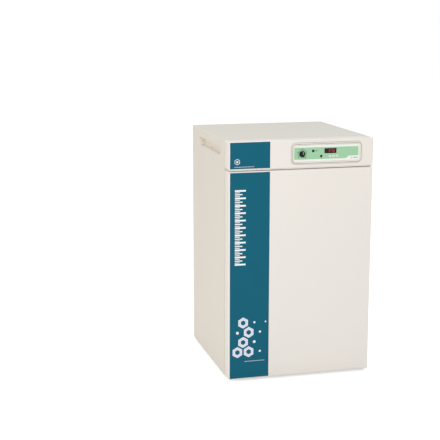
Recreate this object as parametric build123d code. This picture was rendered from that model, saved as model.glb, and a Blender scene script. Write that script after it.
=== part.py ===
from build123d import *
import math
import os

# Free-standing laboratory incubator: an insulated cabinet on four levelling feet, a full-height
# front door hung on the right, an inner glass door, a steel chamber with three slotted shelves,
# and a control fascia above the door. Millimetres, +X to the right, +Y to the back, +Z up.
# The origin is on the floor, under the middle of the bounding box.

# Chamber and the insulated walls round it
chamber_w = 476.0
chamber_h = 723.0
chamber_d = 480.0
side_wall = 62.0
floor_wall = 64.0
head_wall = 64.0
back_wall = 61.0
liner_t = 1.0
liner_corner_r = 22.0
liner_floor_r = 18.0

# Cabinet sheets, door and fascia
sheet_t = 1.2
case_corner_r = 4.0
door_d = 58.0
door_gap = 5.0
fascia_h = 113.0
front_corner_r = 5.5
front_edge_r = 4.0
fascia_inset = 4.0
wool_gap = 0.3
base_flange_h = 22.0

# Levelling feet
foot_h = 14.0
foot_r = 17.0
foot_taper = 3.0
foot_stem_r = 4.0
foot_stem_up = 20.0
foot_inset_x = 50.0
foot_inset_front = 22.0
foot_inset_back = 50.0

# Door hinges
hinge_inset = 14.0
hinge_plate_t = 4.0
hinge_gap = 1.0
hinge_pin_r = 4.0
hinge_pin_up = 20.0
hinge_lug_r = 13.0
hinge_run = 0.05
hinge_seat = 34.0
hinge_leaf_t = 3.0
hinge_leaf_h = 30.0
hinge_block_h = 24.0
notch_gap = 1.0

# Magnetic door gasket and the dished door liner
gasket_off_axis = 6.0
gasket_w = 14.0
gasket_base_t = 1.8
gasket_bead_w = 9.0
gasket_r = 12.0
run_gap = 0.3
dish_margin = 2.0
dish_d = 14.0
dish_r = 10.0
dish_floor_r = 7.0
liner_lap = 15.0

# Inner glass door in its recess
recess_d = 14.0
glass_t = 5.0
glass_lap = 12.0
glass_gap_x = 6.0
glass_gap_z = 12.0
glass_corner_r = 6.0
seal_t = 5.0
seal_w = 9.0
seal_inset = 1.0
clamp_w = 38.0
clamp_h = 30.0
clamp_t = 4.0
pivot_forward = 4.5
pivot_r = 2.5
pivot_boss_r = 4.0
bracket_t = 3.0
bracket_w = 16.0
bracket_gap = 2.0
bracket_leaf_h = 9.0
pull_r = 11.0
pull_h = 12.0
pull_neck_r = 5.0
pull_inset = 26.0
catch_w = 30.0
catch_h = 8.5
catch_inset = 16.0
strike_t = 1.5
strike_overlap = 13.0

# Shelves and what carries them
shelf_count = 3
first_shelf = 175.0
shelf_pitch = 185.0
shelf_t = 1.2
shelf_lip = 11.0
shelf_side_gap = 2.0
shelf_front_gap = 22.0
shelf_back_gap = 26.0
slot_columns = 4
slot_rows = 10
slot_h = 9.0
slot_bar = 16.0
slot_border = 26.0
upright_w = 16.0
upright_d = 7.0
upright_t = 1.2
upright_end_gap = 26.0
upright_from_ends = 62.0
upright_slot_w = 8.0
upright_slot_h = 4.0
upright_slot_pitch = 37.0
runner_w = 14.0
runner_t = 1.6
runner_h = 12.0

# Heating mats and the temperature probe
mat_t = 2.0
mat_border = 60.0
probe_r = 3.0
probe_out = 70.0
probe_drop = 70.0
probe_in = 30.0
probe_nut_r = 8.0
probe_nut_h = 7.0

# Side grips pressed into the cabinet
grip_w = 348.0
grip_h = 33.0
grip_top = 36.0
grip_from_front = 74.0
grip_d = 24.0
grip_flange = 9.0
grip_corner_r = 7.0
grip_floor_r = 4.0

# Coloured film on the door and the fascia
film_w = 163.0
film_margin = 4.5
film_t = 0.4

# Control panel on the fascia: places are counted from the left edge of the overlay and from
# the panel's centre line
bezel_w = 297.0
bezel_h = 85.0
bezel_right = 49.0
bezel_r = 18.0
bezel_proud = 5.0
bezel_edge_r = 1.8
bezel_ring = 9.5
bezel_groove_in = 3.6
bezel_groove_w = 1.6
bezel_groove_d = 1.6
bezel_slope = 1.4
overlay_gap = 0.6
overlay_t = 1.0
knob_from_left = 35.0
knob_up = -1.5
knob_r = 12.5
knob_skirt_h = 3.0
knob_grip_w = 9.0
knob_h = 15.0
knob_lift = 0.5
knob_rib = 0.8
shaft_r = 3.0
shaft_fit = 0.05
shaft_grip = 10.0
bushing_r = 4.75
bushing_gap = 0.4
thermostat_r = 19.0
thermostat_h = 22.0
lamp_from_left = (81.0, 115.0)
lamp_up = (9.5, -12.0)
lamp_r = (4.0, 3.5)
lamp_proud = 1.6
lamp_depth = 14.0
lamp_gap = 0.1
display_from_left = 153.5
display_up = 8.5
display_w = 50.5
display_h = 20.0
display_r = 1.0
display_gap = 0.2
button_count = 3
button_from_left = 151.0
button_pitch = 15.4
button_up = -13.0
button_r = 4.8
button_gap = 0.3
button_proud = 2.2
button_edge_r = 1.2
button_collar_r = 6.2
button_collar_t = 1.2
button_travel = 1.5
button_spare = 0.3
switch_w = 7.0
switch_h = 4.0
board_w = 128.0
board_h = 56.0
board_t = 1.6
board_from_left = 122.0
board_drop = 1.0
board_standoff_r = 3.0
board_hole_in = 5.0

# Electrical bay above the chamber
bay_margin = 26.0
bay_opening_h = 70.0
transformer_w = 66.0
transformer_h = 56.0
transformer_d = 34.0
transformer_coil_d = 54.0
transformer_leg = 14.0
transformer_clear = 0.3
transformer_x = -120.0
relay_w = 45.0
relay_d = 58.0
relay_h = 23.0
relay_plate_h = 20.0
relay_fin_count = 7
relay_fin_t = 2.0
relay_x = 20.0
bay_back_gap = 70.0

# Rear panel: vent slots, mains inlet and rocker switch
vent_count = 14
vent_w = 5.0
vent_h = 46.0
vent_pitch = 13.0
vent_x = -110.0
inlet_x = 190.0
inlet_w = 48.0
inlet_h = 32.0
inlet_flange_t = 2.5
inlet_body_gap = 0.4
inlet_body_w = 30.0
inlet_body_h = 23.0
inlet_depth = 26.0
socket_w = 24.5
socket_h = 16.5
socket_d = 17.0
socket_cut = 4.0
inlet_pin_w = 4.0
inlet_pin_t = 2.0
inlet_pin_l = 13.0
inlet_pin_pitch = 7.0
inlet_pin_up = 2.2
rocker_x = 140.0
rocker_flange_w = 24.0
rocker_flange_h = 32.0
rocker_r = 11.0
rocker_w = 13.0
rocker_sink = 4.5
rocker_cut = 5.5
rocker_tilt = 12.0
rocker_run = 0.3
rocker_axle_r = 1.5
rocker_wall = 2.0

# Places that follow from the sizes above
split_gap = hinge_plate_t + 2 * hinge_gap
door_h = floor_wall + chamber_h + head_wall
case_w = chamber_w + 2 * side_wall
case_h = door_h + split_gap + fascia_h
case_d = recess_d + chamber_d + back_wall
total_d = door_d + door_gap + case_d
front_reach = overlay_t + knob_lift + knob_h + knob_rib
rocker_high = math.radians(2 * rocker_tilt)
rocker_half = math.sqrt(rocker_r**2 - rocker_cut**2)
rocker_top = rocker_cut * math.cos(rocker_high) + rocker_half * math.sin(rocker_high)
rear_reach = max(rocker_top - rocker_sink, inlet_flange_t)

x_left = -case_w / 2
x_right = case_w / 2
y_face = (front_reach - rear_reach - total_d) / 2
y_door_rear = y_face + door_d
y_case = y_door_rear + door_gap
y_flange = y_case + recess_d
y_back = y_flange + chamber_d + back_wall
z_case = foot_h
z_door_top = z_case + door_h
z_fascia = z_door_top + split_gap
z_top = z_case + case_h
z_chamber = z_case + floor_wall + chamber_h / 2
z_door = z_case + door_h / 2
z_panel = z_fascia + fascia_h / 2

x_hinge = x_right - hinge_inset
y_hinge = y_face + door_d / 2
gasket_inset = hinge_inset + gasket_off_axis
gasket_t = door_gap - run_gap
dish_inset = gasket_inset + gasket_w + dish_margin
dish_w = case_w - 2 * dish_inset
dish_h = door_h - 2 * dish_inset

glass_w = chamber_w + 2 * glass_lap
glass_h = chamber_h + 2 * glass_lap
recess_w = glass_w + 2 * glass_gap_x
recess_h = glass_h + 2 * glass_gap_z
recess_r = 3.0
y_seal = y_flange - seal_t
y_glass = y_seal - run_gap - glass_t
x_pivot = glass_w / 2
y_pivot = y_glass - pivot_forward

bezel_x = x_right - bezel_right - bezel_w / 2
overlay_w = bezel_w - 2 * (bezel_ring + overlay_gap)
overlay_h = bezel_h - 2 * (bezel_ring + overlay_gap)
overlay_r = bezel_r - bezel_ring - overlay_gap
overlay_left = bezel_x - overlay_w / 2
y_overlay = y_face - overlay_t
y_skin = y_face + sheet_t
z_bay = z_door_top


# Working planes and simple shapes
def facing_front(x, y, z):
    """Plane at a point whose normal looks out of the front, with its y axis up."""
    return Plane(origin=(x, y, z), x_dir=(1, 0, 0), z_dir=(0, -1, 0))


def facing_back(x, y, z):
    """Plane at a point whose normal looks out of the back, with its y axis up."""
    return Plane(origin=(x, y, z), x_dir=(-1, 0, 0), z_dir=(0, 1, 0))


def facing_side(side, x, y, z):
    """Plane whose normal looks right for side +1 and left for side -1, with its y axis up."""
    return Plane(origin=(x, y, z), x_dir=(0, side, 0), z_dir=(side, 0, 0))


def slab(x0, x1, y0, y1, z0, z1):
    """Box between two corners."""
    middle = Pos((x0 + x1) / 2, (y0 + y1) / 2, (z0 + z1) / 2)
    return middle * Box(x1 - x0, y1 - y0, z1 - z0)


def plate(width, height, thickness, radius):
    """Flat plate with round corners, from z = 0 up."""
    return extrude(RectangleRounded(width, height, radius), thickness)


def rod(radius, length):
    """Round bar along z, from z = 0 up."""
    return extrude(Circle(radius), length)


def upright_bar(radius, x, y, z0, z1):
    """Round vertical bar between two heights."""
    return Pos(x, y, z0) * rod(radius, z1 - z0)


def tub(width, height, depth, corner_r, floor_r):
    """Plug with its mouth at z = 0 and a rounded floor at z = -depth."""
    plug = Pos(0, 0, -depth) * plate(width, height, depth, corner_r)
    floor = plug.faces().sort_by(Axis.Z)[0]
    return fillet(floor.edges(), floor_r)


def flanged_tray(width, height, depth, wall, rim, rim_r, corner_r, floor_r):
    """Pressed tray with its mouth at z = 0 and a flat rim of sheet round the mouth."""
    shell = tub(width + 2 * wall, height + 2 * wall, depth + wall, corner_r + wall, floor_r + wall)
    flange = Pos(0, 0, -wall) * plate(width + 2 * rim, height + 2 * rim, wall, rim_r)
    return shell + flange - tub(width, height, depth, corner_r, floor_r)


def front_pan(width, height, depth, wall, corner_r, edge_r):
    """Sheet pan with its rear edge at z = 0 and its rounded face at z = depth."""
    outside = plate(width, height, depth, corner_r)
    outside = fillet(outside.faces().sort_by(Axis.Z)[-1].edges(), edge_r)
    inside = plate(width - 2 * wall, height - 2 * wall, depth - wall, corner_r - wall)
    inside = fillet(inside.faces().sort_by(Axis.Z)[-1].edges(), edge_r - wall)
    return outside - inside


def ring(width, height, band, thickness, radius):
    """Flat frame of a given band width, with round outer corners."""
    hole_r = max(radius - band, radius / 4)
    return plate(width, height, thickness, radius) - plate(
        width - 2 * band, height - 2 * band, thickness, hole_r
    )


# Cabinet
def grip_place(side):
    """Plane in the middle of a side grip's mouth, on the cabinet's outer face."""
    y = y_case + grip_from_front + grip_w / 2
    return facing_side(side, side * x_right, y, z_top - grip_top - grip_h / 2)


def outer_case():
    """One folded sheet: both sides and the top, with the two grip openings."""
    outline = Rectangle(case_w, case_h)
    outline = fillet(outline.vertices().group_by(Axis.Y)[-1], case_corner_r)
    hollow = Rectangle(case_w - 2 * sheet_t, case_h)
    hollow = fillet(hollow.vertices().group_by(Axis.Y)[-1], case_corner_r - sheet_t)
    profile = outline - Pos(0, -sheet_t) * hollow
    wrap = facing_front(0, y_back, z_case + case_h / 2) * extrude(profile, case_d)
    for side in (-1, 1):
        hole = Pos(0, 0, -2 * sheet_t) * plate(grip_w, grip_h, 3 * sheet_t, grip_corner_r)
        wrap -= grip_place(side) * hole
    return wrap


def side_grip(side):
    """Pressed tray behind a grip opening, welded to the inside of the cabinet."""
    tray = flanged_tray(
        grip_w, grip_h, grip_d, sheet_t, grip_flange, grip_corner_r + grip_flange, grip_corner_r,
        grip_floor_r,
    )
    return grip_place(side) * Pos(0, 0, -sheet_t) * tray


def front_frame():
    """Front of the cabinet: the gasket's landing, the glass door's recess and the bay opening."""
    inside_w = case_w - 2 * sheet_t
    inside_h = case_h - sheet_t
    face = plate(inside_w, inside_h, sheet_t, case_corner_r - sheet_t)
    face = facing_front(0, y_case + sheet_t, z_case + inside_h / 2) * face
    neck = plate(recess_w + 2 * sheet_t, recess_h + 2 * sheet_t, recess_d, recess_r + sheet_t)
    opening = plate(recess_w, recess_h, recess_d, recess_r)
    at = facing_front(0, y_flange, z_chamber)
    bay_w = inside_w - 2 * bay_margin
    bay = facing_front(0, y_case + sheet_t, z_panel) * plate(bay_w, bay_opening_h, sheet_t, 3 * sheet_t)
    return face + at * neck - at * opening - bay


def base_pan():
    """Floor sheet of the cabinet with a flange turned up all round."""
    width = case_w - 2 * sheet_t
    depth = case_d - 2 * sheet_t
    y_middle = (y_case + y_back) / 2
    up = base_flange_h
    hollow_w = width - 2 * sheet_t
    hollow_d = depth - 2 * sheet_t
    tray = Pos(0, 0, up) * tub(width, depth, up, sheet_t * 2, sheet_t * 1.5)
    hollow = Pos(0, 0, up) * tub(hollow_w, hollow_d, up - sheet_t, sheet_t, sheet_t / 2)
    pan = Pos(0, y_middle, z_case) * (tray - hollow)
    for x, y in foot_places():
        pan -= upright_bar(foot_stem_r + shaft_fit, x, y, z_case, z_case + sheet_t)
    return pan


def back_panel():
    """Rear sheet with the bay's vent slots and the cut-outs of the inlet and the switch."""
    inside_w = case_w - 2 * sheet_t
    inside_h = case_h - sheet_t
    panel = plate(inside_w, inside_h, sheet_t, case_corner_r - sheet_t)
    panel = facing_back(0, y_back - sheet_t, z_case + inside_h / 2) * panel
    slot = facing_back(0, y_back - sheet_t, 0) * plate(vent_w, vent_h, sheet_t, vent_w / 2.2)
    for step in range(vent_count):
        x = vent_x + (step - (vent_count - 1) / 2) * vent_pitch
        panel -= Pos(x, 0, z_panel) * slot
    for x, width, height in (
        (inlet_x, inlet_body_w, inlet_body_h),
        (rocker_x, rocker_w + 2 * rocker_wall, 2 * (rocker_r + rocker_wall)),
    ):
        hole = plate(width + 2 * inlet_body_gap, height + 2 * inlet_body_gap, sheet_t, 1.0)
        panel -= facing_back(x, y_back - sheet_t, z_panel) * hole
    return panel


def bay_floor():
    """Sheet that closes the insulation under the electrical bay."""
    margin = sheet_t + wool_gap
    return slab(
        x_left + margin, x_right - margin, y_case + margin, y_back - margin, z_bay, z_bay + sheet_t
    )


def case_insulation():
    """Mineral wool that fills the space between the cabinet and the chamber."""
    edge = 2 * sheet_t + wool_gap
    width = case_w - 2 * edge
    depth = case_d - 2 * edge
    height = door_h - sheet_t - 2 * wool_gap
    block = Pos(0, (y_case + y_back) / 2, z_bay - wool_gap) * tub(
        width, depth, height, 2 * sheet_t, sheet_t
    )
    grow = 2 * (liner_t + mat_t + wool_gap)
    hole = tub(
        chamber_w + grow, chamber_h + grow, chamber_d + grow / 2, liner_corner_r + grow / 2,
        liner_floor_r + grow / 2,
    )
    neck = Pos(0, 0, -liner_t - wool_gap) * plate(
        recess_w + 2 * (sheet_t + wool_gap), recess_h + 2 * (sheet_t + wool_gap), recess_d + sheet_t,
        recess_r,
    )
    at = facing_front(0, y_flange, z_chamber)
    block = block - at * hole - at * neck
    z_probe = z_chamber + chamber_h / 2 - probe_drop
    probe_way = rod(probe_r + wool_gap, back_wall)
    block -= facing_front(probe_x(), y_back, z_probe) * probe_way
    for x, y in foot_places():
        block -= upright_bar(foot_stem_r + wool_gap, x, y, z_case, z_case + foot_stem_up + wool_gap)
    return block


# Chamber
def chamber_liner():
    """Pressed steel chamber with rounded corners, and the flange that carries the glass seal."""
    rim = glass_lap + glass_gap_x + sheet_t
    tray = flanged_tray(
        chamber_w, chamber_h, chamber_d, liner_t, rim, recess_r, liner_corner_r, liner_floor_r
    )
    rim_up = glass_lap + glass_gap_z + sheet_t
    ears = Pos(0, 0, -liner_t) * plate(
        chamber_w + 2 * rim, chamber_h + 2 * rim_up, liner_t, recess_r
    )
    tray += ears - tub(chamber_w, chamber_h, chamber_d, liner_corner_r, liner_floor_r)
    hole = Pos(probe_x(), chamber_h / 2 - probe_drop, -chamber_d - 2 * liner_t) * rod(
        probe_r + shaft_fit, 3 * liner_t
    )
    return facing_front(0, y_flange, z_chamber) * (tray - hole)


def heater_mats():
    """Flat heating mats on the outside of the chamber: both sides, the floor and the back."""
    y0 = y_flange + mat_border
    y1 = y_flange + chamber_d - mat_border
    z0 = z_chamber - chamber_h / 2
    z1 = z_chamber + chamber_h / 2
    out_x = chamber_w / 2 + liner_t
    out_z = z0 - liner_t
    out_y = y_flange + chamber_d + liner_t
    mats = []
    for side in (-1, 1):
        x0, x1 = sorted((side * out_x, side * (out_x + mat_t)))
        mats.append(slab(x0, x1, y0, y1, z0 + mat_border, z1 - mat_border))
    mats.append(slab(mat_border - out_x, out_x - mat_border, y0, y1, out_z - mat_t, out_z))
    mats.append(
        slab(mat_border - out_x, out_x - mat_border, out_y, out_y + mat_t, z0 + mat_border,
             z1 - 2 * mat_border)
    )
    return Compound(mats)


def probe_x():
    """Place of the temperature probe across the chamber's back wall."""
    return chamber_w / 4


def temperature_probe():
    """Sensor tube through the back wall, with its hexagon gland inside the chamber."""
    z = z_chamber + chamber_h / 2 - probe_drop
    wall = y_flange + chamber_d
    tube = facing_front(probe_x(), wall + probe_in, z) * rod(probe_r, probe_out + probe_in)
    tip = tube.faces().sort_by(Axis.Y)[0]
    tube = fillet(tip.edges(), probe_r * 0.8)
    nut = extrude(RegularPolygon(probe_nut_r, 6), probe_nut_h)
    return tube + facing_front(probe_x(), wall, z) * nut


def upright_places():
    """Centres of the four shelf uprights as side and y."""
    front = y_flange + upright_from_ends
    back = y_flange + chamber_d - upright_from_ends
    return [(side, y) for side in (-1, 1) for y in (front, back)]


def shelf_uprights():
    """Folded channel strips on the side walls, with slots for the shelf runners."""
    length = chamber_h - 2 * upright_end_gap
    outer = Rectangle(upright_w, upright_d)
    inner = Rectangle(upright_w - 2 * upright_t, upright_d)
    profile = outer - Pos(0, -upright_t) * inner
    strip = Pos(0, 0, -length / 2) * extrude(profile, length)
    slot = Box(upright_slot_w, 3 * upright_t, upright_slot_h)
    rows = int(length // upright_slot_pitch)
    for step in range(rows):
        z = (step - (rows - 1) / 2) * upright_slot_pitch
        strip -= Pos(0, upright_d / 2, z) * slot
    strips = []
    for side, y in upright_places():
        place = Pos(side * (chamber_w / 2 - upright_d / 2), y, z_chamber)
        strips.append(place * Rot(0, 0, side * 90) * strip)
    return Compound(strips)


def shelf_level(number):
    """Height of a shelf's underside above the floor."""
    return z_chamber - chamber_h / 2 + first_shelf + number * shelf_pitch


def shelf_runners():
    """Pairs of angle runners, hooked on the uprights, that the shelves rest on."""
    y0 = y_flange + upright_from_ends - upright_w
    y1 = y_flange + chamber_d - upright_from_ends + upright_w
    web_x = chamber_w / 2 - upright_d
    runners = []
    for number in range(shelf_count):
        z = shelf_level(number)
        for side in (-1, 1):
            x0, x1 = sorted((side * web_x, side * (web_x - runner_w)))
            leg = slab(x0, x1, y0, y1, z - runner_t, z)
            x0, x1 = sorted((side * web_x, side * (web_x - runner_t)))
            runners.append(leg + slab(x0, x1, y0, y1, z - runner_t, z + runner_h))
    return Compound(runners)


def shelf(number):
    """Slotted steel shelf with its front and back edges turned down."""
    half = chamber_w / 2 - upright_d - runner_t - shelf_side_gap
    y0 = y_flange + shelf_front_gap
    y1 = y_flange + chamber_d - shelf_back_gap
    depth = y1 - y0
    z = shelf_level(number)
    outer = slab(-half, half, y0, y1, z, z + shelf_t)
    lip_half = half - runner_w
    for y in (y0, y1 - shelf_t):
        outer += slab(-lip_half, lip_half, y, y + shelf_t, z - shelf_lip, z)
    slot_w = (2 * half - 2 * slot_border - (slot_columns - 1) * slot_bar) / slot_columns
    step_y = (depth - 2 * slot_border - slot_h) / (slot_rows - 1)
    cuts = []
    for column in range(slot_columns):
        x0 = -half + slot_border + column * (slot_w + slot_bar)
        for row in range(slot_rows):
            y = y0 + slot_border + row * step_y
            cuts.append(slab(x0, x0 + slot_w, y, y + slot_h, z - shelf_t, z + 2 * shelf_t))
    return outer - cuts


# Feet
def foot_places():
    """Centres of the four feet."""
    y_front = y_case + foot_inset_front
    y_rear = y_back - foot_inset_back
    half = x_right - foot_inset_x
    return [(side * half, y) for side in (-1, 1) for y in (y_front, y_rear)]


def levelling_feet():
    """Rubber feet, slightly wider at the floor, on threaded stems through the base."""
    profile = Polyline(
        (0, 0), (foot_r - 1, 0), (foot_r, 1), (foot_r - foot_taper, foot_h), (0, foot_h), close=True
    )
    pad = revolve(Plane.XZ * make_face(profile), Axis.Z)
    stem = upright_bar(foot_stem_r, 0, 0, foot_h, foot_h + foot_stem_up)
    return Compound([Pos(x, y, 0) * (pad + stem) for x, y in foot_places()])


# Door
def door_skin():
    """Folded steel pan of the door, with the lip that its gasket sits on."""
    pan = front_pan(case_w, door_h, door_d, sheet_t, front_corner_r, front_edge_r)
    lip = plate(case_w - 2 * sheet_t, door_h - 2 * sheet_t, sheet_t, front_corner_r - sheet_t)
    pan += lip - plate(dish_w, dish_h, sheet_t, dish_r)
    pan = facing_front(0, y_door_rear, z_door) * pan
    bore = hinge_pin_r + hinge_gap
    return pan - upright_bar(bore, x_hinge, y_hinge, z_case, z_case + sheet_t) - upright_bar(
        bore, x_hinge, y_hinge, z_door_top - sheet_t, z_door_top
    )


def door_liner():
    """Dished inner panel of the door, welded behind the lip; the dish clears the glass door."""
    tray = flanged_tray(
        dish_w, dish_h, dish_d, sheet_t, liner_lap, dish_r + liner_lap, dish_r, dish_floor_r
    )
    return facing_back(0, y_door_rear - sheet_t, z_door) * tray


def hinge_block_box(spare):
    """Space of the two pivot blocks inside the door's right corners."""
    x0 = x_hinge - hinge_lug_r - spare
    x1 = x_right - front_corner_r + spare
    y0 = y_hinge - hinge_lug_r - spare
    y1 = y_hinge + hinge_lug_r + spare
    low = z_case + sheet_t
    high = z_door_top - sheet_t
    lower = slab(x0, x1, y0, y1, low, low + hinge_block_h + spare)
    upper = slab(x0, x1, y0, y1, high - hinge_block_h - spare, high)
    return lower, upper


def door_pivots():
    """Nylon pivot blocks that turn on the hinge pins."""
    lower, upper = hinge_block_box(0)
    lower = fillet(lower.edges().filter_by(Axis.Z), hinge_plate_t / 2)
    upper = fillet(upper.edges().filter_by(Axis.Z), hinge_plate_t / 2)
    bore = hinge_pin_r + hinge_run
    deep = sheet_t + hinge_pin_up + hinge_gap
    lower -= upright_bar(bore, x_hinge, y_hinge, z_case, z_case + deep)
    upper -= upright_bar(bore, x_hinge, y_hinge, z_door_top - deep, z_door_top)
    return Compound([lower, upper])


def door_insulation():
    """Foam that fills the door between its skin and its liner."""
    width = case_w - 2 * (sheet_t + wool_gap)
    height = door_h - 2 * (sheet_t + wool_gap)
    depth = door_d - 2 * (sheet_t + wool_gap)
    foam = plate(width, height, depth, front_corner_r)
    at = facing_front(0, y_door_rear - sheet_t - wool_gap, z_door)
    foam = at * fillet(foam.faces().sort_by(Axis.Z)[-1].edges(), front_edge_r - sheet_t)
    spare = sheet_t + wool_gap
    dish = tub(
        dish_w + 2 * spare, dish_h + 2 * spare, dish_d + spare, dish_r + spare, dish_floor_r + spare
    )
    rim = Pos(0, 0, -spare) * plate(
        dish_w + 2 * liner_lap + 2 * wool_gap, dish_h + 2 * liner_lap + 2 * wool_gap, spare,
        dish_r + liner_lap,
    )
    foam -= facing_back(0, y_door_rear - sheet_t, z_door) * (dish + rim)
    for block in hinge_block_box(wool_gap):
        foam -= block
    return foam


def door_gasket():
    """Magnetic gasket: a flat base on the door's lip and a round-shouldered bead."""
    width = case_w - 2 * gasket_inset
    height = door_h - 2 * gasket_inset
    base = ring(width, height, gasket_w, gasket_base_t, gasket_r)
    side = (gasket_w - gasket_bead_w) / 2
    bead = ring(width - 2 * side, height - 2 * side, gasket_bead_w, gasket_t, gasket_r - side)
    bead = fillet(bead.faces().sort_by(Axis.Z)[-1].edges(), gasket_base_t / 2)
    return facing_back(0, y_door_rear, z_door) * (base + bead)


def hinge_plate(z_low):
    """Flat lug with a round nose over the hinge axis, running back towards the cabinet."""
    nose = upright_bar(hinge_lug_r, x_hinge, y_hinge, z_low, z_low + hinge_plate_t)
    return nose + slab(
        x_hinge - hinge_lug_r, x_hinge + hinge_lug_r, y_hinge, y_case, z_low, z_low + hinge_plate_t
    )


def hinge_lower():
    """Lower door hinge: a plate bolted under the base, with its pin standing up."""
    z_low = z_case - hinge_gap - hinge_plate_t
    x0 = x_hinge - hinge_lug_r
    x1 = x_hinge + hinge_lug_r
    seat = slab(x0, x1, y_case, y_case + hinge_seat, z_low, z_case - hinge_gap)
    pad = slab(x0, x1, y_case + hinge_gap, y_case + hinge_seat, z_case - hinge_gap, z_case)
    pin = upright_bar(hinge_pin_r, x_hinge, y_hinge, z_low, z_case + sheet_t + hinge_pin_up)
    return hinge_plate(z_low) + seat + pad + pin


def hinge_leaf(spare):
    """Upright leaf of the upper hinge, or the room for it in the fascia."""
    x0 = x_hinge - hinge_lug_r - spare
    x1 = x_right - fascia_inset - sheet_t - hinge_gap + spare
    z0 = z_door_top + hinge_gap
    return slab(x0, x1, y_case - hinge_leaf_t - spare, y_case, z0, z0 + hinge_leaf_h + spare)


def hinge_upper():
    """Upper door hinge: a plate in the gap below the fascia, its leaf bolted to the cabinet."""
    z_low = z_door_top + hinge_gap
    z_tip = z_door_top - sheet_t - hinge_pin_up
    pin = upright_bar(hinge_pin_r, x_hinge, y_hinge, z_tip, z_low + hinge_plate_t)
    return hinge_plate(z_low) + hinge_leaf(0) + pin


def film(height, z_middle):
    """Coloured film along the left edge of a front panel."""
    x = x_left + film_margin + film_w / 2
    return facing_front(x, y_face, z_middle) * plate(film_w, height - 2 * film_margin, film_t, film_t)


# Inner glass door
def glass_seal():
    """Silicone seal on the chamber's flange."""
    width = glass_w - 2 * seal_inset
    height = glass_h - 2 * seal_inset
    band = ring(width, height, seal_w, seal_t, glass_corner_r + seal_w)
    band = fillet(band.faces().sort_by(Axis.Z)[-1].edges(), seal_w / 4)
    return facing_front(0, y_flange, z_chamber) * band


def glass_pane():
    """Toughened glass with ground edges and a hole for its pull."""
    pane = plate(glass_w, glass_h, glass_t, glass_corner_r)
    pane = chamfer(pane.faces().sort_by(Axis.Z)[-1].edges(), glass_t / 8)
    hole = Pos(pull_inset - glass_w / 2, 0, 0) * rod(pull_neck_r / 2 + hinge_run, glass_t)
    return facing_front(0, y_glass + glass_t, z_chamber) * (pane - hole)


def glass_clamps():
    """Clamps bonded to the glass's right corners, each with a pivot pin."""
    clamps = []
    half = glass_h / 2
    for up in (-1, 1):
        body = plate(clamp_w, clamp_h, clamp_t, 3.0)
        body = chamfer(body.faces().sort_by(Axis.Z)[-1].edges(), clamp_t / 5)
        at = facing_front(x_pivot - clamp_w / 2, y_glass, z_chamber + up * (half - clamp_h / 2))
        ends = sorted((up * (half - clamp_h), up * half))
        boss = upright_bar(
            pivot_boss_r, x_pivot, y_pivot, z_chamber + ends[0], z_chamber + ends[1]
        )
        reach = half + bracket_gap + bracket_t + pivot_boss_r / 2
        ends = sorted((up * (half - clamp_h), up * reach))
        pin = upright_bar(pivot_r, x_pivot, y_pivot, z_chamber + ends[0], z_chamber + ends[1])
        clamps.append(at * body + boss + pin)
    return Compound(clamps)


def glass_brackets():
    """Angle brackets on the chamber's flange that hold the glass door's pivot pins."""
    brackets = []
    x0 = x_pivot - bracket_w + pivot_boss_r
    x1 = x_pivot + pivot_boss_r
    nose = pivot_boss_r + bracket_t / 2
    for up in (-1, 1):
        low = glass_h / 2 + bracket_gap
        za, zb = sorted((z_chamber + up * low, z_chamber + up * (low + bracket_t)))
        tab = slab(x0, x1, y_pivot - nose, y_flange, za, zb)
        tab = fillet(tab.edges().filter_by(Axis.Z).group_by(Axis.Y)[0], pivot_boss_r * 0.7)
        zc, zd = sorted((z_chamber + up * low, z_chamber + up * (low + bracket_leaf_h)))
        tab += slab(x0, x1, y_flange - bracket_t, y_flange, zc, zd)
        brackets.append(tab - upright_bar(pivot_r + hinge_run, x_pivot, y_pivot, za, zb))
    return Compound(brackets)


def glass_pull():
    """Round pull with a waisted neck, and the screw cap behind the glass."""
    profile = make_face(
        Polyline(
            (0, 0), (pull_neck_r, 0), (pull_neck_r, pull_h * 0.45), (pull_r, pull_h * 0.7),
            (pull_r, pull_h * 0.9), (pull_r * 0.85, pull_h), (0, pull_h), close=True,
        )
    )
    knob = revolve(Plane.XZ * profile, Axis.Z)
    return facing_front(pull_inset - glass_w / 2, y_glass, z_chamber) * knob


def catch_middle():
    """Centre of the magnetic catch across the glass door."""
    return catch_inset + catch_w / 2 - glass_w / 2


def glass_catch():
    """Magnet block on the flange above the glass."""
    x = catch_middle()
    z0 = z_chamber + glass_h / 2 + bracket_gap
    body = slab(
        x - catch_w / 2, x + catch_w / 2, y_glass + run_gap, y_flange, z0, z0 + catch_h
    )
    return fillet(body.edges().filter_by(Axis.Y), 1.5)


def glass_strike():
    """Steel strike plate bonded to the glass, reaching over the magnet."""
    x = catch_middle()
    z1 = z_chamber + glass_h / 2
    height = strike_overlap + bracket_gap + catch_h
    tab = plate(catch_w, height, strike_t, 2.0)
    return facing_front(x, y_glass, z1 - strike_overlap + height / 2) * tab


# Fascia and its controls
def panel_spot(from_left, up, y):
    """Plane on the fascia, a distance from the overlay's left edge and above its middle."""
    return facing_front(overlay_left + from_left, y, z_panel + up)


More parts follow.
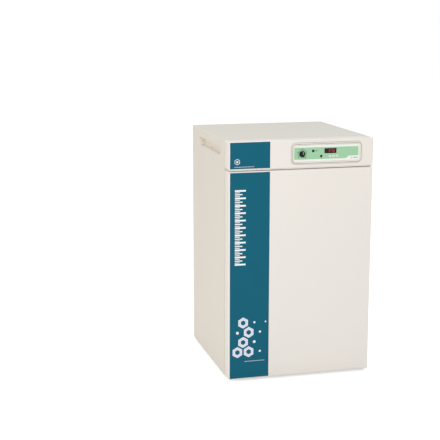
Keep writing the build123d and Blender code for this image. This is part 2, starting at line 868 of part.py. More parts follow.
def panel_cuts(extra):
    """Every hole through the overlay and the fascia, a little larger by the given amount."""
    deep = sheet_t + overlay_t + 2
    cuts = [panel_spot(knob_from_left, knob_up, y_skin + 1) * rod(bushing_r + bushing_gap + extra, deep)]
    for across, up, radius in zip(lamp_from_left, lamp_up, lamp_r):
        cuts.append(panel_spot(across, up, y_skin + 1) * rod(radius + lamp_gap + extra, deep))
    window = plate(
        display_w + 2 * (display_gap + extra), display_h + 2 * (display_gap + extra), deep,
        display_r + extra,
    )
    cuts.append(panel_spot(display_from_left, display_up, y_skin + 1) * window)
    for step in range(button_count):
        across = button_from_left + step * button_pitch
        hole = rod(button_r + button_gap + extra, deep)
        cuts.append(panel_spot(across, button_up, y_skin + 1) * hole)
    return cuts


def fascia_panel():
    """Fascia pan over the controls, its inset neck seated on the cabinet's front."""
    pan = front_pan(case_w, fascia_h, door_d, sheet_t, front_corner_r, front_edge_r)
    in_w = case_w - 2 * fascia_inset
    in_h = fascia_h - 2 * fascia_inset
    lip = plate(case_w - 2 * sheet_t, fascia_h - 2 * sheet_t, sheet_t, front_corner_r - sheet_t)
    neck_r = front_corner_r - sheet_t
    hollow = plate(in_w - 2 * sheet_t, in_h - 2 * sheet_t, door_gap + sheet_t, neck_r - sheet_t)
    neck = plate(in_w, in_h, door_gap + sheet_t, neck_r)
    pan += lip
    pan += Pos(0, 0, -door_gap) * neck
    pan -= Pos(0, 0, -door_gap) * hollow
    pan = facing_front(0, y_door_rear, z_panel) * pan
    return pan - panel_cuts(0) - hinge_leaf(notch_gap)


def control_bezel():
    """Moulded frame round the controls: two raised beads with a groove between them."""
    frame = plate(bezel_w, bezel_h, bezel_proud, bezel_r)
    frame = fillet(frame.faces().sort_by(Axis.Z)[-1].edges(), bezel_edge_r)
    frame -= plate(
        bezel_w - 2 * bezel_ring, bezel_h - 2 * bezel_ring, bezel_proud, bezel_r - bezel_ring
    )
    top = frame.faces().sort_by(Axis.Z)[-1]
    frame = chamfer(top.inner_wires()[0].edges(), bezel_slope)
    groove = ring(
        bezel_w - 2 * bezel_groove_in, bezel_h - 2 * bezel_groove_in, bezel_groove_w,
        bezel_groove_d, bezel_r - bezel_groove_in,
    )
    frame -= Pos(0, 0, bezel_proud - bezel_groove_d) * groove
    return facing_front(bezel_x, y_face, z_panel) * frame


def control_overlay():
    """Printed overlay plate inside the bezel."""
    sheet = plate(overlay_w, overlay_h, overlay_t, overlay_r)
    return facing_front(bezel_x, y_face, z_panel) * sheet - panel_cuts(0)


def display_window():
    """Dark window in front of the digits, flush with the overlay."""
    pane = plate(display_w, display_h, overlay_t + sheet_t, display_r)
    return panel_spot(display_from_left, display_up, y_skin) * pane


def y_board():
    """Front face of the circuit board behind the fascia."""
    return y_skin + board_gap()


def board_gap():
    """Distance from the fascia to the board: switch, spare travel and button collar."""
    return switch_h + button_travel + button_spare + button_collar_t


def display_module():
    """Four-digit display between the window and the circuit board."""
    block = plate(display_w, display_h, board_gap(), display_r)
    return panel_spot(display_from_left, display_up, y_board()) * block


def board_corners():
    """Centres of the board's four fixing holes, as distances on the panel."""
    half_w = board_w / 2 - board_hole_in
    half_h = board_h / 2 - board_hole_in
    return [
        (board_from_left + sx * half_w, sy * half_h - board_drop) for sx in (-1, 1) for sy in (-1, 1)
    ]


def control_board():
    """Circuit board with its fixing holes."""
    board = panel_spot(board_from_left, -board_drop, y_board() + board_t) * plate(
        board_w, board_h, board_t, board_hole_in / 2
    )
    for across, up in board_corners():
        board -= panel_spot(across, up, y_board() + board_t) * rod(board_standoff_r / 2, board_t)
    for across, up, radius in zip(lamp_from_left, lamp_up, lamp_r):
        board -= panel_spot(across, up, y_board() + board_t) * rod(radius + 2 * lamp_gap, board_t)
    return board


def board_standoffs():
    """Welded studs that hold the board off the fascia."""
    stud = extrude(RegularPolygon(board_standoff_r, 6), board_gap())
    return Compound([panel_spot(a, up, y_board()) * stud for a, up in board_corners()])


def key_switches():
    """Small switches on the board behind the buttons."""
    body = plate(switch_w, switch_w, switch_h, 0.8)
    bodies = []
    for step in range(button_count):
        across = button_from_left + step * button_pitch
        bodies.append(panel_spot(across, button_up, y_board()) * body)
    return Compound(bodies)


def push_button(number):
    """Round key with a domed edge and a collar that keeps it behind the fascia."""
    across = button_from_left + number * button_pitch
    cap = rod(button_r, sheet_t + overlay_t + button_proud)
    cap = fillet(cap.faces().sort_by(Axis.Z)[-1].edges(), button_edge_r)
    collar = Pos(0, 0, -button_collar_t) * rod(button_collar_r, button_collar_t)
    return panel_spot(across, button_up, y_skin) * (cap + collar)


def lamp(number):
    """Round indicator lamp with a domed lens and its holder behind the fascia."""
    radius = lamp_r[number]
    body = rod(radius, lamp_depth + sheet_t + overlay_t + lamp_proud)
    body = fillet(body.faces().sort_by(Axis.Z)[-1].edges(), radius * 0.45)
    place = panel_spot(lamp_from_left[number], lamp_up[number], y_skin + lamp_depth)
    return place * body


def thermostat():
    """Capillary thermostat body behind the fascia, with its bushing and nut."""
    can = rod(thermostat_r, thermostat_h)
    can = fillet(can.faces().sort_by(Axis.Z)[0].edges(), thermostat_r / 8)
    bushing = Pos(0, 0, thermostat_h) * rod(bushing_r, sheet_t)
    body = can + bushing
    body -= Pos(0, 0, thermostat_h - shaft_grip) * rod(shaft_r + shaft_fit, shaft_grip + sheet_t)
    return panel_spot(knob_from_left, knob_up, y_skin + thermostat_h) * body


def knob_shaft():
    """Steel shaft from the thermostat into the knob."""
    length = shaft_grip - shaft_fit + sheet_t + overlay_t + knob_lift + knob_h / 2
    place = panel_spot(knob_from_left, knob_up, y_skin + shaft_grip - shaft_fit)
    return place * rod(shaft_r, length)


def pointer_knob():
    """Pointer knob: a round skirt, a waisted grip and a raised pointer rib."""
    skirt = rod(knob_r, knob_skirt_h)
    skirt = fillet(skirt.faces().sort_by(Axis.Z)[-1].edges(), knob_skirt_h / 3)
    grip = extrude(SlotOverall(2 * knob_r - 1.5, knob_grip_w, rotation=90), knob_h)
    grip = fillet(grip.faces().sort_by(Axis.Z)[-1].edges(), knob_grip_w / 6)
    hub = rod(knob_r * 0.62, knob_h * 0.75)
    rib = Pos(0, knob_r / 2 - 1, knob_h) * Box(1.4, knob_r - 3, 2 * knob_rib)
    body = skirt + hub + grip + rib - rod(shaft_r + shaft_fit, knob_h / 2 + shaft_fit)
    return panel_spot(knob_from_left, knob_up, y_overlay - knob_lift) * body


# Electrical bay
def bay_y():
    """Middle of the heavy electrical parts, front to back."""
    return y_back - bay_back_gap


def transformer_core():
    """Laminated core of the mains transformer with its two coil windows and two feet."""
    core = Box(transformer_w, transformer_d, transformer_h)
    window_w = (transformer_w - 3 * transformer_leg) / 2
    window_h = transformer_h - 2 * transformer_leg
    for sx in (-1, 1):
        x = sx * (transformer_leg / 2 + window_w / 2)
        core -= Pos(x, 0, 0) * Box(window_w, transformer_d, window_h)
    feet = Pos(0, 0, sheet_t / 2 - transformer_h / 2) * Box(
        transformer_w + 2 * transformer_leg, transformer_d - transformer_leg, sheet_t
    )
    place = Pos(transformer_x, bay_y(), z_bay + sheet_t + transformer_h / 2)
    return place * (core + feet)


def transformer_coil():
    """Winding round the middle leg of the transformer."""
    window_w = (transformer_w - 3 * transformer_leg) / 2
    width = transformer_leg + 2 * (window_w - transformer_clear)
    height = transformer_h - 2 * transformer_leg - 2 * transformer_clear
    coil = Box(width, transformer_coil_d, height)
    coil = fillet(coil.edges().filter_by(Axis.Z), window_w / 2)
    clear = 2 * transformer_clear
    coil -= Box(transformer_leg + clear, transformer_d + clear, height)
    return Pos(transformer_x, bay_y(), z_bay + sheet_t + transformer_h / 2) * coil


def relay_sink():
    """Finned aluminium block that carries the solid-state relay."""
    block = Box(relay_w + 10, relay_d, relay_plate_h)
    pitch = (relay_w + 10 - relay_fin_t) / (relay_fin_count - 1)
    gap = pitch - relay_fin_t
    for step in range(relay_fin_count - 1):
        x = (step - (relay_fin_count - 2) / 2) * pitch
        block -= Pos(x, 0, -relay_fin_t) * Box(gap, relay_d, relay_plate_h)
    return Pos(relay_x, bay_y(), z_bay + sheet_t + relay_plate_h / 2) * block


def relay_body():
    """Solid-state relay bolted on its heat sink."""
    body = Box(relay_w, relay_d, relay_h)
    body = fillet(body.edges().filter_by(Axis.Z), 2.0)
    z = z_bay + sheet_t + relay_plate_h + relay_h / 2
    return Pos(relay_x, bay_y(), z) * body


# Rear fittings
def power_inlet():
    """Mains appliance inlet: flange, shrouded socket with two cut corners, and three blades."""
    flange = plate(inlet_w, inlet_h, inlet_flange_t, 4.0)
    flange = fillet(flange.faces().sort_by(Axis.Z)[-1].edges(), inlet_flange_t / 4)
    body = Pos(0, 0, -inlet_depth) * plate(inlet_body_w, inlet_body_h, inlet_depth, 1.0)
    outline = Rectangle(socket_w, socket_h)
    outline = chamfer(outline.vertices().group_by(Axis.Y)[-1], socket_cut)
    floor = inlet_flange_t - socket_d
    shroud = flange + body - Pos(0, 0, floor) * extrude(outline, socket_d)
    blade = Pos(0, 0, floor + inlet_pin_l / 2) * Box(inlet_pin_t, inlet_pin_w, inlet_pin_l)
    for x, up in ((-inlet_pin_pitch, 0), (inlet_pin_pitch, 0), (0, inlet_pin_up)):
        shroud += Pos(x, inlet_pin_up / 2 + up, 0) * blade
    return facing_back(inlet_x, y_back, z_panel) * shroud


def rocker_place():
    """Plane at the rocker's pivot, looking out of the back."""
    return facing_back(rocker_x, y_back - rocker_sink, z_panel)


def rocker_housing():
    """Switch housing with a round-bottomed well for the rocker."""
    flange = Pos(0, 0, rocker_sink) * plate(rocker_flange_w, rocker_flange_h, inlet_flange_t, 3.0)
    body_h = 2 * (rocker_r + rocker_wall)
    depth = rocker_r + 2 * rocker_wall
    body = Pos(0, 0, -depth) * plate(rocker_w + 2 * rocker_wall, body_h, depth + rocker_sink, 1.0)
    well_w = rocker_w + 2 * rocker_run
    well_r = rocker_r + rocker_run
    well = Rot(0, 90, 0) * Pos(0, 0, -well_w / 2) * rod(well_r, well_w)
    mouth = plate(well_w, 2 * well_r, rocker_sink + inlet_flange_t, 0.5)
    axle_l = rocker_w + 2 * rocker_wall
    axle = Rot(0, 90, 0) * Pos(0, 0, -axle_l / 2) * rod(rocker_axle_r, axle_l)
    return rocker_place() * (flange + body - well - mouth + axle)


def rocker():
    """Rocker of the mains switch, pressed in at its lower half."""
    drum = Rot(0, 90, 0) * Pos(0, 0, -rocker_w / 2) * rod(rocker_r, rocker_w)
    reach = 2 * rocker_r
    for side in (-1, 1):
        plane = Rot(side * rocker_tilt, 0, 0) * Pos(0, side * reach / 2, rocker_cut + reach / 2)
        drum -= plane * Box(2 * rocker_w, reach, reach)
    axle_l = rocker_w + 2 * rocker_wall
    drum -= Rot(0, 90, 0) * Pos(0, 0, -axle_l / 2) * rod(rocker_axle_r + hinge_run, axle_l)
    return rocker_place() * Rot(rocker_tilt, 0, 0) * drum


pieces = {
    "outer_case": outer_case(),
    "grip_left": side_grip(-1),
    "grip_right": side_grip(1),
    "front_frame": front_frame(),
    "base_pan": base_pan(),
    "back_panel": back_panel(),
    "bay_floor": bay_floor(),
    "case_insulation": case_insulation(),
    "chamber_liner": chamber_liner(),
    "heater_mats": heater_mats(),
    "temperature_probe": temperature_probe(),
    "shelf_uprights": shelf_uprights(),
    "shelf_runners": shelf_runners(),
    "levelling_feet": levelling_feet(),
    "door_skin": door_skin(),
    "door_liner": door_liner(),
    "door_pivots": door_pivots(),
    "door_insulation": door_insulation(),
    "door_gasket": door_gasket(),
    "door_film": film(door_h, z_door),
    "hinge_lower": hinge_lower(),
    "hinge_upper": hinge_upper(),
    "glass_seal": glass_seal(),
    "glass_pane": glass_pane(),
    "glass_clamps": glass_clamps(),
    "glass_brackets": glass_brackets(),
    "glass_pull": glass_pull(),
    "glass_catch": glass_catch(),
    "glass_strike": glass_strike(),
    "fascia_panel": fascia_panel(),
    "fascia_film": film(fascia_h, z_panel),
    "control_bezel": control_bezel(),
    "control_overlay": control_overlay(),
    "display_window": display_window(),
    "display_module": display_module(),
    "control_board": control_board(),
    "board_standoffs": board_standoffs(),
    "key_switches": key_switches(),
    "thermostat": thermostat(),
    "knob_shaft": knob_shaft(),
    "pointer_knob": pointer_knob(),
    "transformer_core": transformer_core(),
    "transformer_coil": transformer_coil(),
    "relay_sink": relay_sink(),
    "relay_body": relay_body(),
    "power_inlet": power_inlet(),
    "rocker_housing": rocker_housing(),
    "rocker": rocker(),
}
for number in range(shelf_count):
    pieces[f"shelf_{number + 1}"] = shelf(number)
for number in range(button_count):
    pieces[f"button_{number + 1}"] = push_button(number)
for number in range(len(lamp_r)):
    pieces[f"lamp_{number + 1}"] = lamp(number)

os.makedirs("parts", exist_ok=True)
for name, piece in pieces.items():
    export_step(piece, f"parts/{name}.step")
print(len(pieces), "pieces; door hinge at", x_hinge, y_hinge, "glass pivot at", x_pivot, y_pivot)
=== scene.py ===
# %% [markdown]
# # A laboratory incubator: finishes, prints and small fittings
#
# The incubator is a steel cabinet on four feet. It has a full-height door, a glass door inside,
# and a control panel above. The shapes were made as CAD parts. Here each part gets its
# finish, and the prints, digits, dial and screws are added as thin meshes of their own.
#
# Everything is in metres. X points right, Y to the back and Z up, and the front faces -Y.

import math

import bmesh
import bpy
from mathutils import Matrix, Vector


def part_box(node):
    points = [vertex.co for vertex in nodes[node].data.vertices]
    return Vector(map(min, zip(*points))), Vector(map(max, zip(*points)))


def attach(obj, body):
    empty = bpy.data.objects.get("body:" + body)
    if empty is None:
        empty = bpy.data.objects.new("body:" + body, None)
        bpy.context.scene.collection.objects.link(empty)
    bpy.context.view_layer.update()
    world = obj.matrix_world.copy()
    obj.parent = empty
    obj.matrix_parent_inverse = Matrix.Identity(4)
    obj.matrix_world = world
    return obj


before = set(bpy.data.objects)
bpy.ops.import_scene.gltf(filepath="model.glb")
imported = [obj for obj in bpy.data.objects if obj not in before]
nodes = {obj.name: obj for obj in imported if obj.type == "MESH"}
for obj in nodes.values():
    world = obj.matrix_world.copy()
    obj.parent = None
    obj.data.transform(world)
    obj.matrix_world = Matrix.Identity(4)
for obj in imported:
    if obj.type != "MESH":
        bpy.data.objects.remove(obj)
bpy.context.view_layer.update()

# %% [markdown]
# ## Camera
#
# The photograph was taken from the front, a little from the left and above. The view angles and
# the distance were worked out from the corners of the cabinet. A camera at az = 0 would look
# straight at the front, so it is turned by the azimuth and tipped down by the elevation.

# %% Camera
VIEW_AZIMUTH = math.radians(-14.50)
VIEW_ELEVATION = math.radians(11.24)
CAMERA_PLACE = (-1.3861, -4.3633, 1.5106)
SENSOR_WIDTH = 36.0
FOCAL_LENGTH = 89.239

camera_data = bpy.data.cameras.new("camera")
camera_data.sensor_width = SENSOR_WIDTH
camera_data.lens = FOCAL_LENGTH
camera = bpy.data.objects.new("camera", camera_data)
camera.location = CAMERA_PLACE
camera.rotation_euler = (math.radians(90) - VIEW_ELEVATION, 0, VIEW_AZIMUTH)
bpy.context.scene.collection.objects.link(camera)
bpy.context.scene.camera = camera
print("lens", camera_data.lens)

# %% [markdown]
# ## Colour, light and background
#
# Colours are written as they look on a screen, from 0 to 255, and changed to the linear values
# that shaders use. The Standard view keeps a colour as it is written.

# %% Colour helper
scene = bpy.context.scene
scene.view_settings.view_transform = "Standard"


def linear(channel):
    """Screen value from 0 to 255 as a linear value from 0 to 1."""
    value = channel / 255
    if value <= 0.04045:
        return value / 12.92
    return ((value + 0.055) / 1.055) ** 2.4


def colour(red, green, blue):
    """Screen colour as a linear shader colour."""
    return (linear(red), linear(green), linear(blue), 1.0)


FRONT_IVORY = colour(235, 230, 223)
print("ivory in linear light", [round(c, 3) for c in FRONT_IVORY])

# %% [markdown]
# The room is a soft world with a slightly warm tint. The camera sees pure white instead, also
# through glass, and that is the plain background. All other rays get the weaker light of the
# room, so the object keeps its shading. A Light Path node tells the rays apart. The floor
# needs the same switch, so it is a helper.

# %% Switch between what gives light and what is seen
def seen_switch(tree, lighting, seen):
    """Mix of two shaders: the first gives light, and the second is what the camera sees."""
    path = tree.nodes.new("ShaderNodeLightPath")
    direct = tree.nodes.new("ShaderNodeMath")
    direct.operation = "MAXIMUM"
    tree.links.new(path.outputs["Is Camera Ray"], direct.inputs[0])
    tree.links.new(path.outputs["Is Transmission Ray"], direct.inputs[1])
    mix = tree.nodes.new("ShaderNodeMixShader")
    tree.links.new(direct.outputs[0], mix.inputs["Fac"])
    tree.links.new(lighting.outputs[0], mix.inputs[1])
    tree.links.new(seen.outputs[0], mix.inputs[2])
    return mix.outputs[0]


print("switch ready")

# %% World
ROOM_STRENGTH = 0.62
ROOM_TINT = (1.0, 0.985, 0.97, 1.0)
WHITE = (1.0, 1.0, 1.0, 1.0)


def background(tree, tint, strength):
    """Background shader of one colour."""
    node = tree.nodes.new("ShaderNodeBackground")
    node.inputs["Color"].default_value = tint
    node.inputs["Strength"].default_value = strength
    return node


world = bpy.data.worlds.new("room")
scene.world = world
world.use_nodes = True
tree = world.node_tree
tree.nodes.clear()
room = background(tree, ROOM_TINT, ROOM_STRENGTH)
white = background(tree, WHITE, 1.0)
out = tree.nodes.new("ShaderNodeOutputWorld")
tree.links.new(seen_switch(tree, room, white), out.inputs["Surface"])
print("world strength", ROOM_STRENGTH)

# %% [markdown]
# Large area lamps give soft light with no hard shadow, as a studio tent does. The front is
# lit most, from the left, so its right edge is a little darker. The left side gets less, and
# the top gets a cooler light, which is how the photograph looks.

# %% Lamps
def area_lamp(name, place, aim, size, power, tint):
    """Square soft lamp at a place, turned towards a point."""
    data = bpy.data.lights.new(name, "AREA")
    data.shape = "SQUARE"
    data.size = size
    data.energy = power
    data.color = tint
    lamp = bpy.data.objects.new(name, data)
    lamp.location = place
    towards = Vector(aim) - Vector(place)
    lamp.rotation_euler = towards.to_track_quat("-Z", "Y").to_euler()
    scene.collection.objects.link(lamp)


area_lamp(
    "lamp_front", place=(-1.0, -3.4, 2.3), aim=(0.0, 0.0, 0.6), size=2.0, power=52,
    tint=(1.0, 0.99, 0.985),
)
area_lamp(
    "lamp_left", place=(-4.0, 0.6, 1.5), aim=(0.0, 0.0, 0.5), size=2.2, power=34,
    tint=(1.0, 0.98, 0.94),
)
area_lamp(
    "lamp_top", place=(0.2, 0.4, 3.6), aim=(0.0, 0.1, 0.9), size=2.6, power=24,
    tint=(0.68, 0.86, 1.0),
)

# %% [markdown]
# ## Floor
#
# The floor is one pale sheet. It is white to the camera and still takes the object's
# shadow, because what the camera sees is the lit surface with a plain white glow added to it.

# %% Floor
FLOOR_HALF = 14.0
FLOOR_GREY = (0.86, 0.86, 0.86, 1.0)
FLOOR_GLOW = 0.55


def floor_sheet(half):
    """Flat square mesh under the object."""
    mesh = bpy.data.meshes.new("floor")
    corners = [(-half, -half, 0), (half, -half, 0), (half, half, 0), (-half, half, 0)]
    mesh.from_pydata(corners, [], [(0, 1, 2, 3)])
    sheet = bpy.data.objects.new("floor", mesh)
    scene.collection.objects.link(sheet)
    return sheet


floor = floor_sheet(FLOOR_HALF)
floor_finish = bpy.data.materials.new("floor")
floor_finish.use_nodes = True
tree = floor_finish.node_tree
shader = tree.nodes["Principled BSDF"]
shader.inputs["Base Color"].default_value = FLOOR_GREY
shader.inputs["Roughness"].default_value = 0.9
shader.inputs["Specular IOR Level"].default_value = 0.0
glow = tree.nodes.new("ShaderNodeEmission")
glow.inputs["Strength"].default_value = FLOOR_GLOW
bright = tree.nodes.new("ShaderNodeAddShader")
tree.links.new(shader.outputs[0], bright.inputs[0])
tree.links.new(glow.outputs[0], bright.inputs[1])
surface = seen_switch(tree, shader, bright)
tree.links.new(surface, tree.nodes["Material Output"].inputs["Surface"])
floor.data.materials.append(floor_finish)
print("floor", floor.dimensions[:])

# %% [markdown]
# ## Shared effects as node groups
#
# Several finishes need the same effects: the fine waves of sprayed enamel, the grain of brushed
# steel, the grain of moulded plastic, dust and painted shade near the floor and the marks that
# wiping leaves. Each is a node group, built once, with named values that a material sets for
# itself.
# A group gives only colours, masks and heights. The shader stays in the material.

# %% Group helpers
FLOAT = "NodeSocketFloat"
COLOUR = "NodeSocketColor"
VECTOR = "NodeSocketVector"


def new_group(name, inputs, outputs):
    """Empty node group with named sockets. Returns the tree, its input node and output node."""
    group = bpy.data.node_groups.new(name, "ShaderNodeTree")
    for label, kind, value in inputs:
        socket = group.interface.new_socket(name=label, in_out="INPUT", socket_type=kind)
        socket.default_value = value
    for label, kind in outputs:
        group.interface.new_socket(name=label, in_out="OUTPUT", socket_type=kind)
    return group, group.nodes.new("NodeGroupInput"), group.nodes.new("NodeGroupOutput")


def own_place(group):
    """Coordinates that stay with the object when it moves."""
    return group.nodes.new("ShaderNodeTexCoord").outputs["Object"]


def noise(group, vector, scale, detail):
    """Noise texture on the given coordinates. The scale is a number or another socket."""
    node = group.nodes.new("ShaderNodeTexNoise")
    node.inputs["Detail"].default_value = detail
    group.links.new(vector, node.inputs["Vector"])
    if isinstance(scale, bpy.types.NodeSocket):
        group.links.new(scale, node.inputs["Scale"])
    else:
        node.inputs["Scale"].default_value = scale
    return node.outputs["Fac"]


print("sockets", FLOAT, COLOUR, VECTOR)

# %% Helpers that calculate with masks
def calculate(group, operation, first, second, clamp=False):
    """Math node on two sockets or numbers."""
    node = group.nodes.new("ShaderNodeMath")
    node.operation = operation
    node.use_clamp = clamp
    for value, socket in ((first, node.inputs[0]), (second, node.inputs[1])):
        if isinstance(value, bpy.types.NodeSocket):
            group.links.new(value, socket)
        else:
            socket.default_value = value
    return node.outputs[0]


def swing(group, mask, strength):
    """Mask round one half as a swing round zero, of the given strength."""
    centred = calculate(group, "SUBTRACT", mask, 0.5)
    return calculate(group, "MULTIPLY", centred, strength)


def shade(group, base, mask, strength):
    """Base colour made lighter and darker by a mask round one half."""
    factor = calculate(group, "ADD", swing(group, mask, strength), 1.0)
    node = group.nodes.new("ShaderNodeVectorMath")
    node.operation = "SCALE"
    group.links.new(base, node.inputs[0])
    group.links.new(factor, node.inputs["Scale"])
    return node.outputs[0]


print("helpers ready")

# %% [markdown]
# Sprayed enamel is never quite flat. It has an orange-peel wave about two millimetres
# long, and its colour drifts very slightly over a large panel.

# %% Enamel group
DRIFT_PER_METRE = 2.6
MOTTLE_PER_METRE = 60.0
MOTTLE_SWING = 0.16

enamel_group, enter, leave = new_group(
    "sprayed_enamel",
    [
        ("Colour", COLOUR, (1, 1, 1, 1)),
        ("Drift", FLOAT, 0.05),
        ("Peel per metre", FLOAT, 420.0),
        ("Roughness", FLOAT, 0.35),
    ],
    [("Colour", COLOUR), ("Roughness", FLOAT), ("Height", FLOAT)],
)
place = own_place(enamel_group)
broad = noise(enamel_group, place, DRIFT_PER_METRE, 2.0)
peel = noise(enamel_group, place, enter.outputs["Peel per metre"], 2.0)
fine = noise(enamel_group, place, MOTTLE_PER_METRE, 3.0)
tone = shade(enamel_group, enter.outputs["Colour"], broad, enter.outputs["Drift"])
spread = swing(enamel_group, fine, MOTTLE_SWING)
rough = calculate(enamel_group, "ADD", enter.outputs["Roughness"], spread, clamp=True)
enamel_group.links.new(tone, leave.inputs["Colour"])
enamel_group.links.new(rough, leave.inputs["Roughness"])
enamel_group.links.new(peel, leave.inputs["Height"])
print(enamel_group.name, len(enamel_group.nodes))

# %% [markdown]
# Brushed or rolled steel has long thin lines. Noise that is stretched many times along one
# direction gives them. The stretch is a value of each material, because a shelf is brushed
# along its width and a chamber wall from top to bottom.

# %% Brushed metal group
PATCHES_PER_METRE = 7.0
LINE_SWING = 0.3
PATCH_SWING = 0.2

brushed_group, enter, leave = new_group(
    "brushed_metal",
    [
        ("Colour", COLOUR, (1, 1, 1, 1)),
        ("Stretch", VECTOR, (20.0, 900.0, 900.0)),
        ("Contrast", FLOAT, 0.12),
        ("Roughness", FLOAT, 0.3),
    ],
    [("Colour", COLOUR), ("Roughness", FLOAT), ("Height", FLOAT)],
)
place = own_place(brushed_group)
pull = brushed_group.nodes.new("ShaderNodeVectorMath")
pull.operation = "MULTIPLY"
brushed_group.links.new(place, pull.inputs[0])
brushed_group.links.new(enter.outputs["Stretch"], pull.inputs[1])
lines = noise(brushed_group, pull.outputs[0], 1.0, 3.0)
cloud = noise(brushed_group, place, PATCHES_PER_METRE, 2.0)
tone = shade(brushed_group, enter.outputs["Colour"], lines, enter.outputs["Contrast"])
spread = swing(brushed_group, lines, LINE_SWING)
patch = swing(brushed_group, cloud, PATCH_SWING)
rough = calculate(brushed_group, "ADD", enter.outputs["Roughness"], spread)
rough = calculate(brushed_group, "ADD", rough, patch, clamp=True)
brushed_group.links.new(tone, leave.inputs["Colour"])
brushed_group.links.new(rough, leave.inputs["Roughness"])
brushed_group.links.new(lines, leave.inputs["Height"])
print(brushed_group.name, len(brushed_group.nodes))

# %% [markdown]
# Moulded plastic and rubber copy the spark-eroded skin of their mould: a fine pebble grain
# under a millimetre across. The same group with a coarser grain serves for wool and foam.

# %% Moulded group
CLOUDS_PER_METRE = 22.0
CLOUD_SWING = 0.2

moulded_group, enter, leave = new_group(
    "moulded_grain",
    [
        ("Colour", COLOUR, (1, 1, 1, 1)),
        ("Grain per metre", FLOAT, 1600.0),
        ("Contrast", FLOAT, 0.08),
        ("Roughness", FLOAT, 0.5),
    ],
    [("Colour", COLOUR), ("Roughness", FLOAT), ("Height", FLOAT)],
)
place = own_place(moulded_group)
grain = noise(moulded_group, place, enter.outputs["Grain per metre"], 4.0)
cloud = noise(moulded_group, place, CLOUDS_PER_METRE, 2.0)
both_masks = calculate(moulded_group, "ADD", grain, cloud)
half_mask = calculate(moulded_group, "MULTIPLY", both_masks, 0.5)
tone = shade(moulded_group, enter.outputs["Colour"], half_mask, enter.outputs["Contrast"])
spread = swing(moulded_group, cloud, CLOUD_SWING)
rough = calculate(moulded_group, "ADD", enter.outputs["Roughness"], spread, clamp=True)
moulded_group.links.new(tone, leave.inputs["Colour"])
moulded_group.links.new(rough, leave.inputs["Roughness"])
moulded_group.links.new(grain, leave.inputs["Height"])
print(moulded_group.name, len(moulded_group.nodes))

# %% [markdown]
# A cabinet that stands on a floor picks up a little dust low down, and it also stands in shade
# there. The group takes a colour and darkens it towards the floor, broken up by noise, so the
# darkening is partly dust and partly painted shade.

# %% Dust and painted shade group
DUST_AND_SHADE_SPOTS_PER_METRE = 38.0

dust_and_shade_group, enter, leave = new_group(
    "floor_dust_and_shade",
    [
        ("Colour", COLOUR, (1, 1, 1, 1)),
        ("Dust and shade colour", COLOUR, (0.35, 0.31, 0.26, 1)),
        ("Height", FLOAT, 0.06),
        ("Amount", FLOAT, 0.2),
    ],
    [("Colour", COLOUR)],
)
place = own_place(dust_and_shade_group)
apart = dust_and_shade_group.nodes.new("ShaderNodeSeparateXYZ")
dust_and_shade_group.links.new(place, apart.inputs[0])
share = calculate(dust_and_shade_group, "DIVIDE", apart.outputs["Z"], enter.outputs["Height"])
low = calculate(dust_and_shade_group, "SUBTRACT", 1.0, share, clamp=True)
broken = noise(dust_and_shade_group, place, DUST_AND_SHADE_SPOTS_PER_METRE, 5.0)
# Darkening towards the floor: partly dust, partly painted shade.
mask = calculate(dust_and_shade_group, "MULTIPLY", low, broken)
mask = calculate(dust_and_shade_group, "MULTIPLY", mask, enter.outputs["Amount"], clamp=True)
blend = dust_and_shade_group.nodes.new("ShaderNodeMix")
blend.data_type = "RGBA"
dust_and_shade_group.links.new(mask, blend.inputs["Factor"])
dust_and_shade_group.links.new(enter.outputs["Colour"], blend.inputs["A"])
dust_and_shade_group.links.new(enter.outputs["Dust and shade colour"], blend.inputs["B"])
dust_and_shade_group.links.new(blend.outputs["Result"], leave.inputs["Colour"])
print(dust_and_shade_group.name, len(dust_and_shade_group.nodes))

# %% [markdown]
# Glossy printed film, glass and the display window show where they were wiped. Long soft
# smears change only how rough the surface is, so they are seen in reflections alone.

# %% Wiped surface group
WIPE_SLANT = math.radians(35)
WIPE_SHAPE = (1.0, 1.0, 0.22)

wiped_group, enter, leave = new_group(
    "wiped_surface",
    [
        ("Roughness", FLOAT, 0.12),
        ("Smear", FLOAT, 0.12),
        ("Smears per metre", FLOAT, 18.0),
    ],
    [("Roughness", FLOAT)],
)
place = own_place(wiped_group)
slant = wiped_group.nodes.new("ShaderNodeMapping")
slant.inputs["Rotation"].default_value = (0, WIPE_SLANT, 0)
slant.inputs["Scale"].default_value = WIPE_SHAPE
wiped_group.links.new(place, slant.inputs["Vector"])
smear = noise(wiped_group, slant.outputs[0], enter.outputs["Smears per metre"], 4.0)
extra = calculate(wiped_group, "MULTIPLY", smear, enter.outputs["Smear"])
rough = calculate(wiped_group, "ADD", enter.outputs["Roughness"], extra, clamp=True)
wiped_group.links.new(rough, leave.inputs["Roughness"])
print(wiped_group.name, len(wiped_group.nodes))

# %% [markdown]
# ## Finishes
#
# Each finish is one material. The helpers below put a group into it, link its outputs to the
# shader, and add a Bump node whose distance is in metres, so the depth of a grain is a real
# size.

# %% Material helpers
def new_finish(name):
    """Material with a node tree. Returns the material and its shader."""
    finish = bpy.data.materials.new(name)
    finish.use_nodes = True
    return finish, finish.node_tree.nodes["Principled BSDF"]


def use_group(finish, group, **values):
    """Places a node group in a material and sets its values by socket name."""
    node = finish.node_tree.nodes.new("ShaderNodeGroup")
    node.node_tree = group
    for label, value in values.items():
        node.inputs[label.replace("_", " ")].default_value = value
    return node


def feed(finish, source, **targets):
    """Links outputs of a node to inputs of the material's shader, both given by name."""
    tree = finish.node_tree
    for output, target in targets.items():
        tree.links.new(source.outputs[output], tree.nodes["Principled BSDF"].inputs[target])


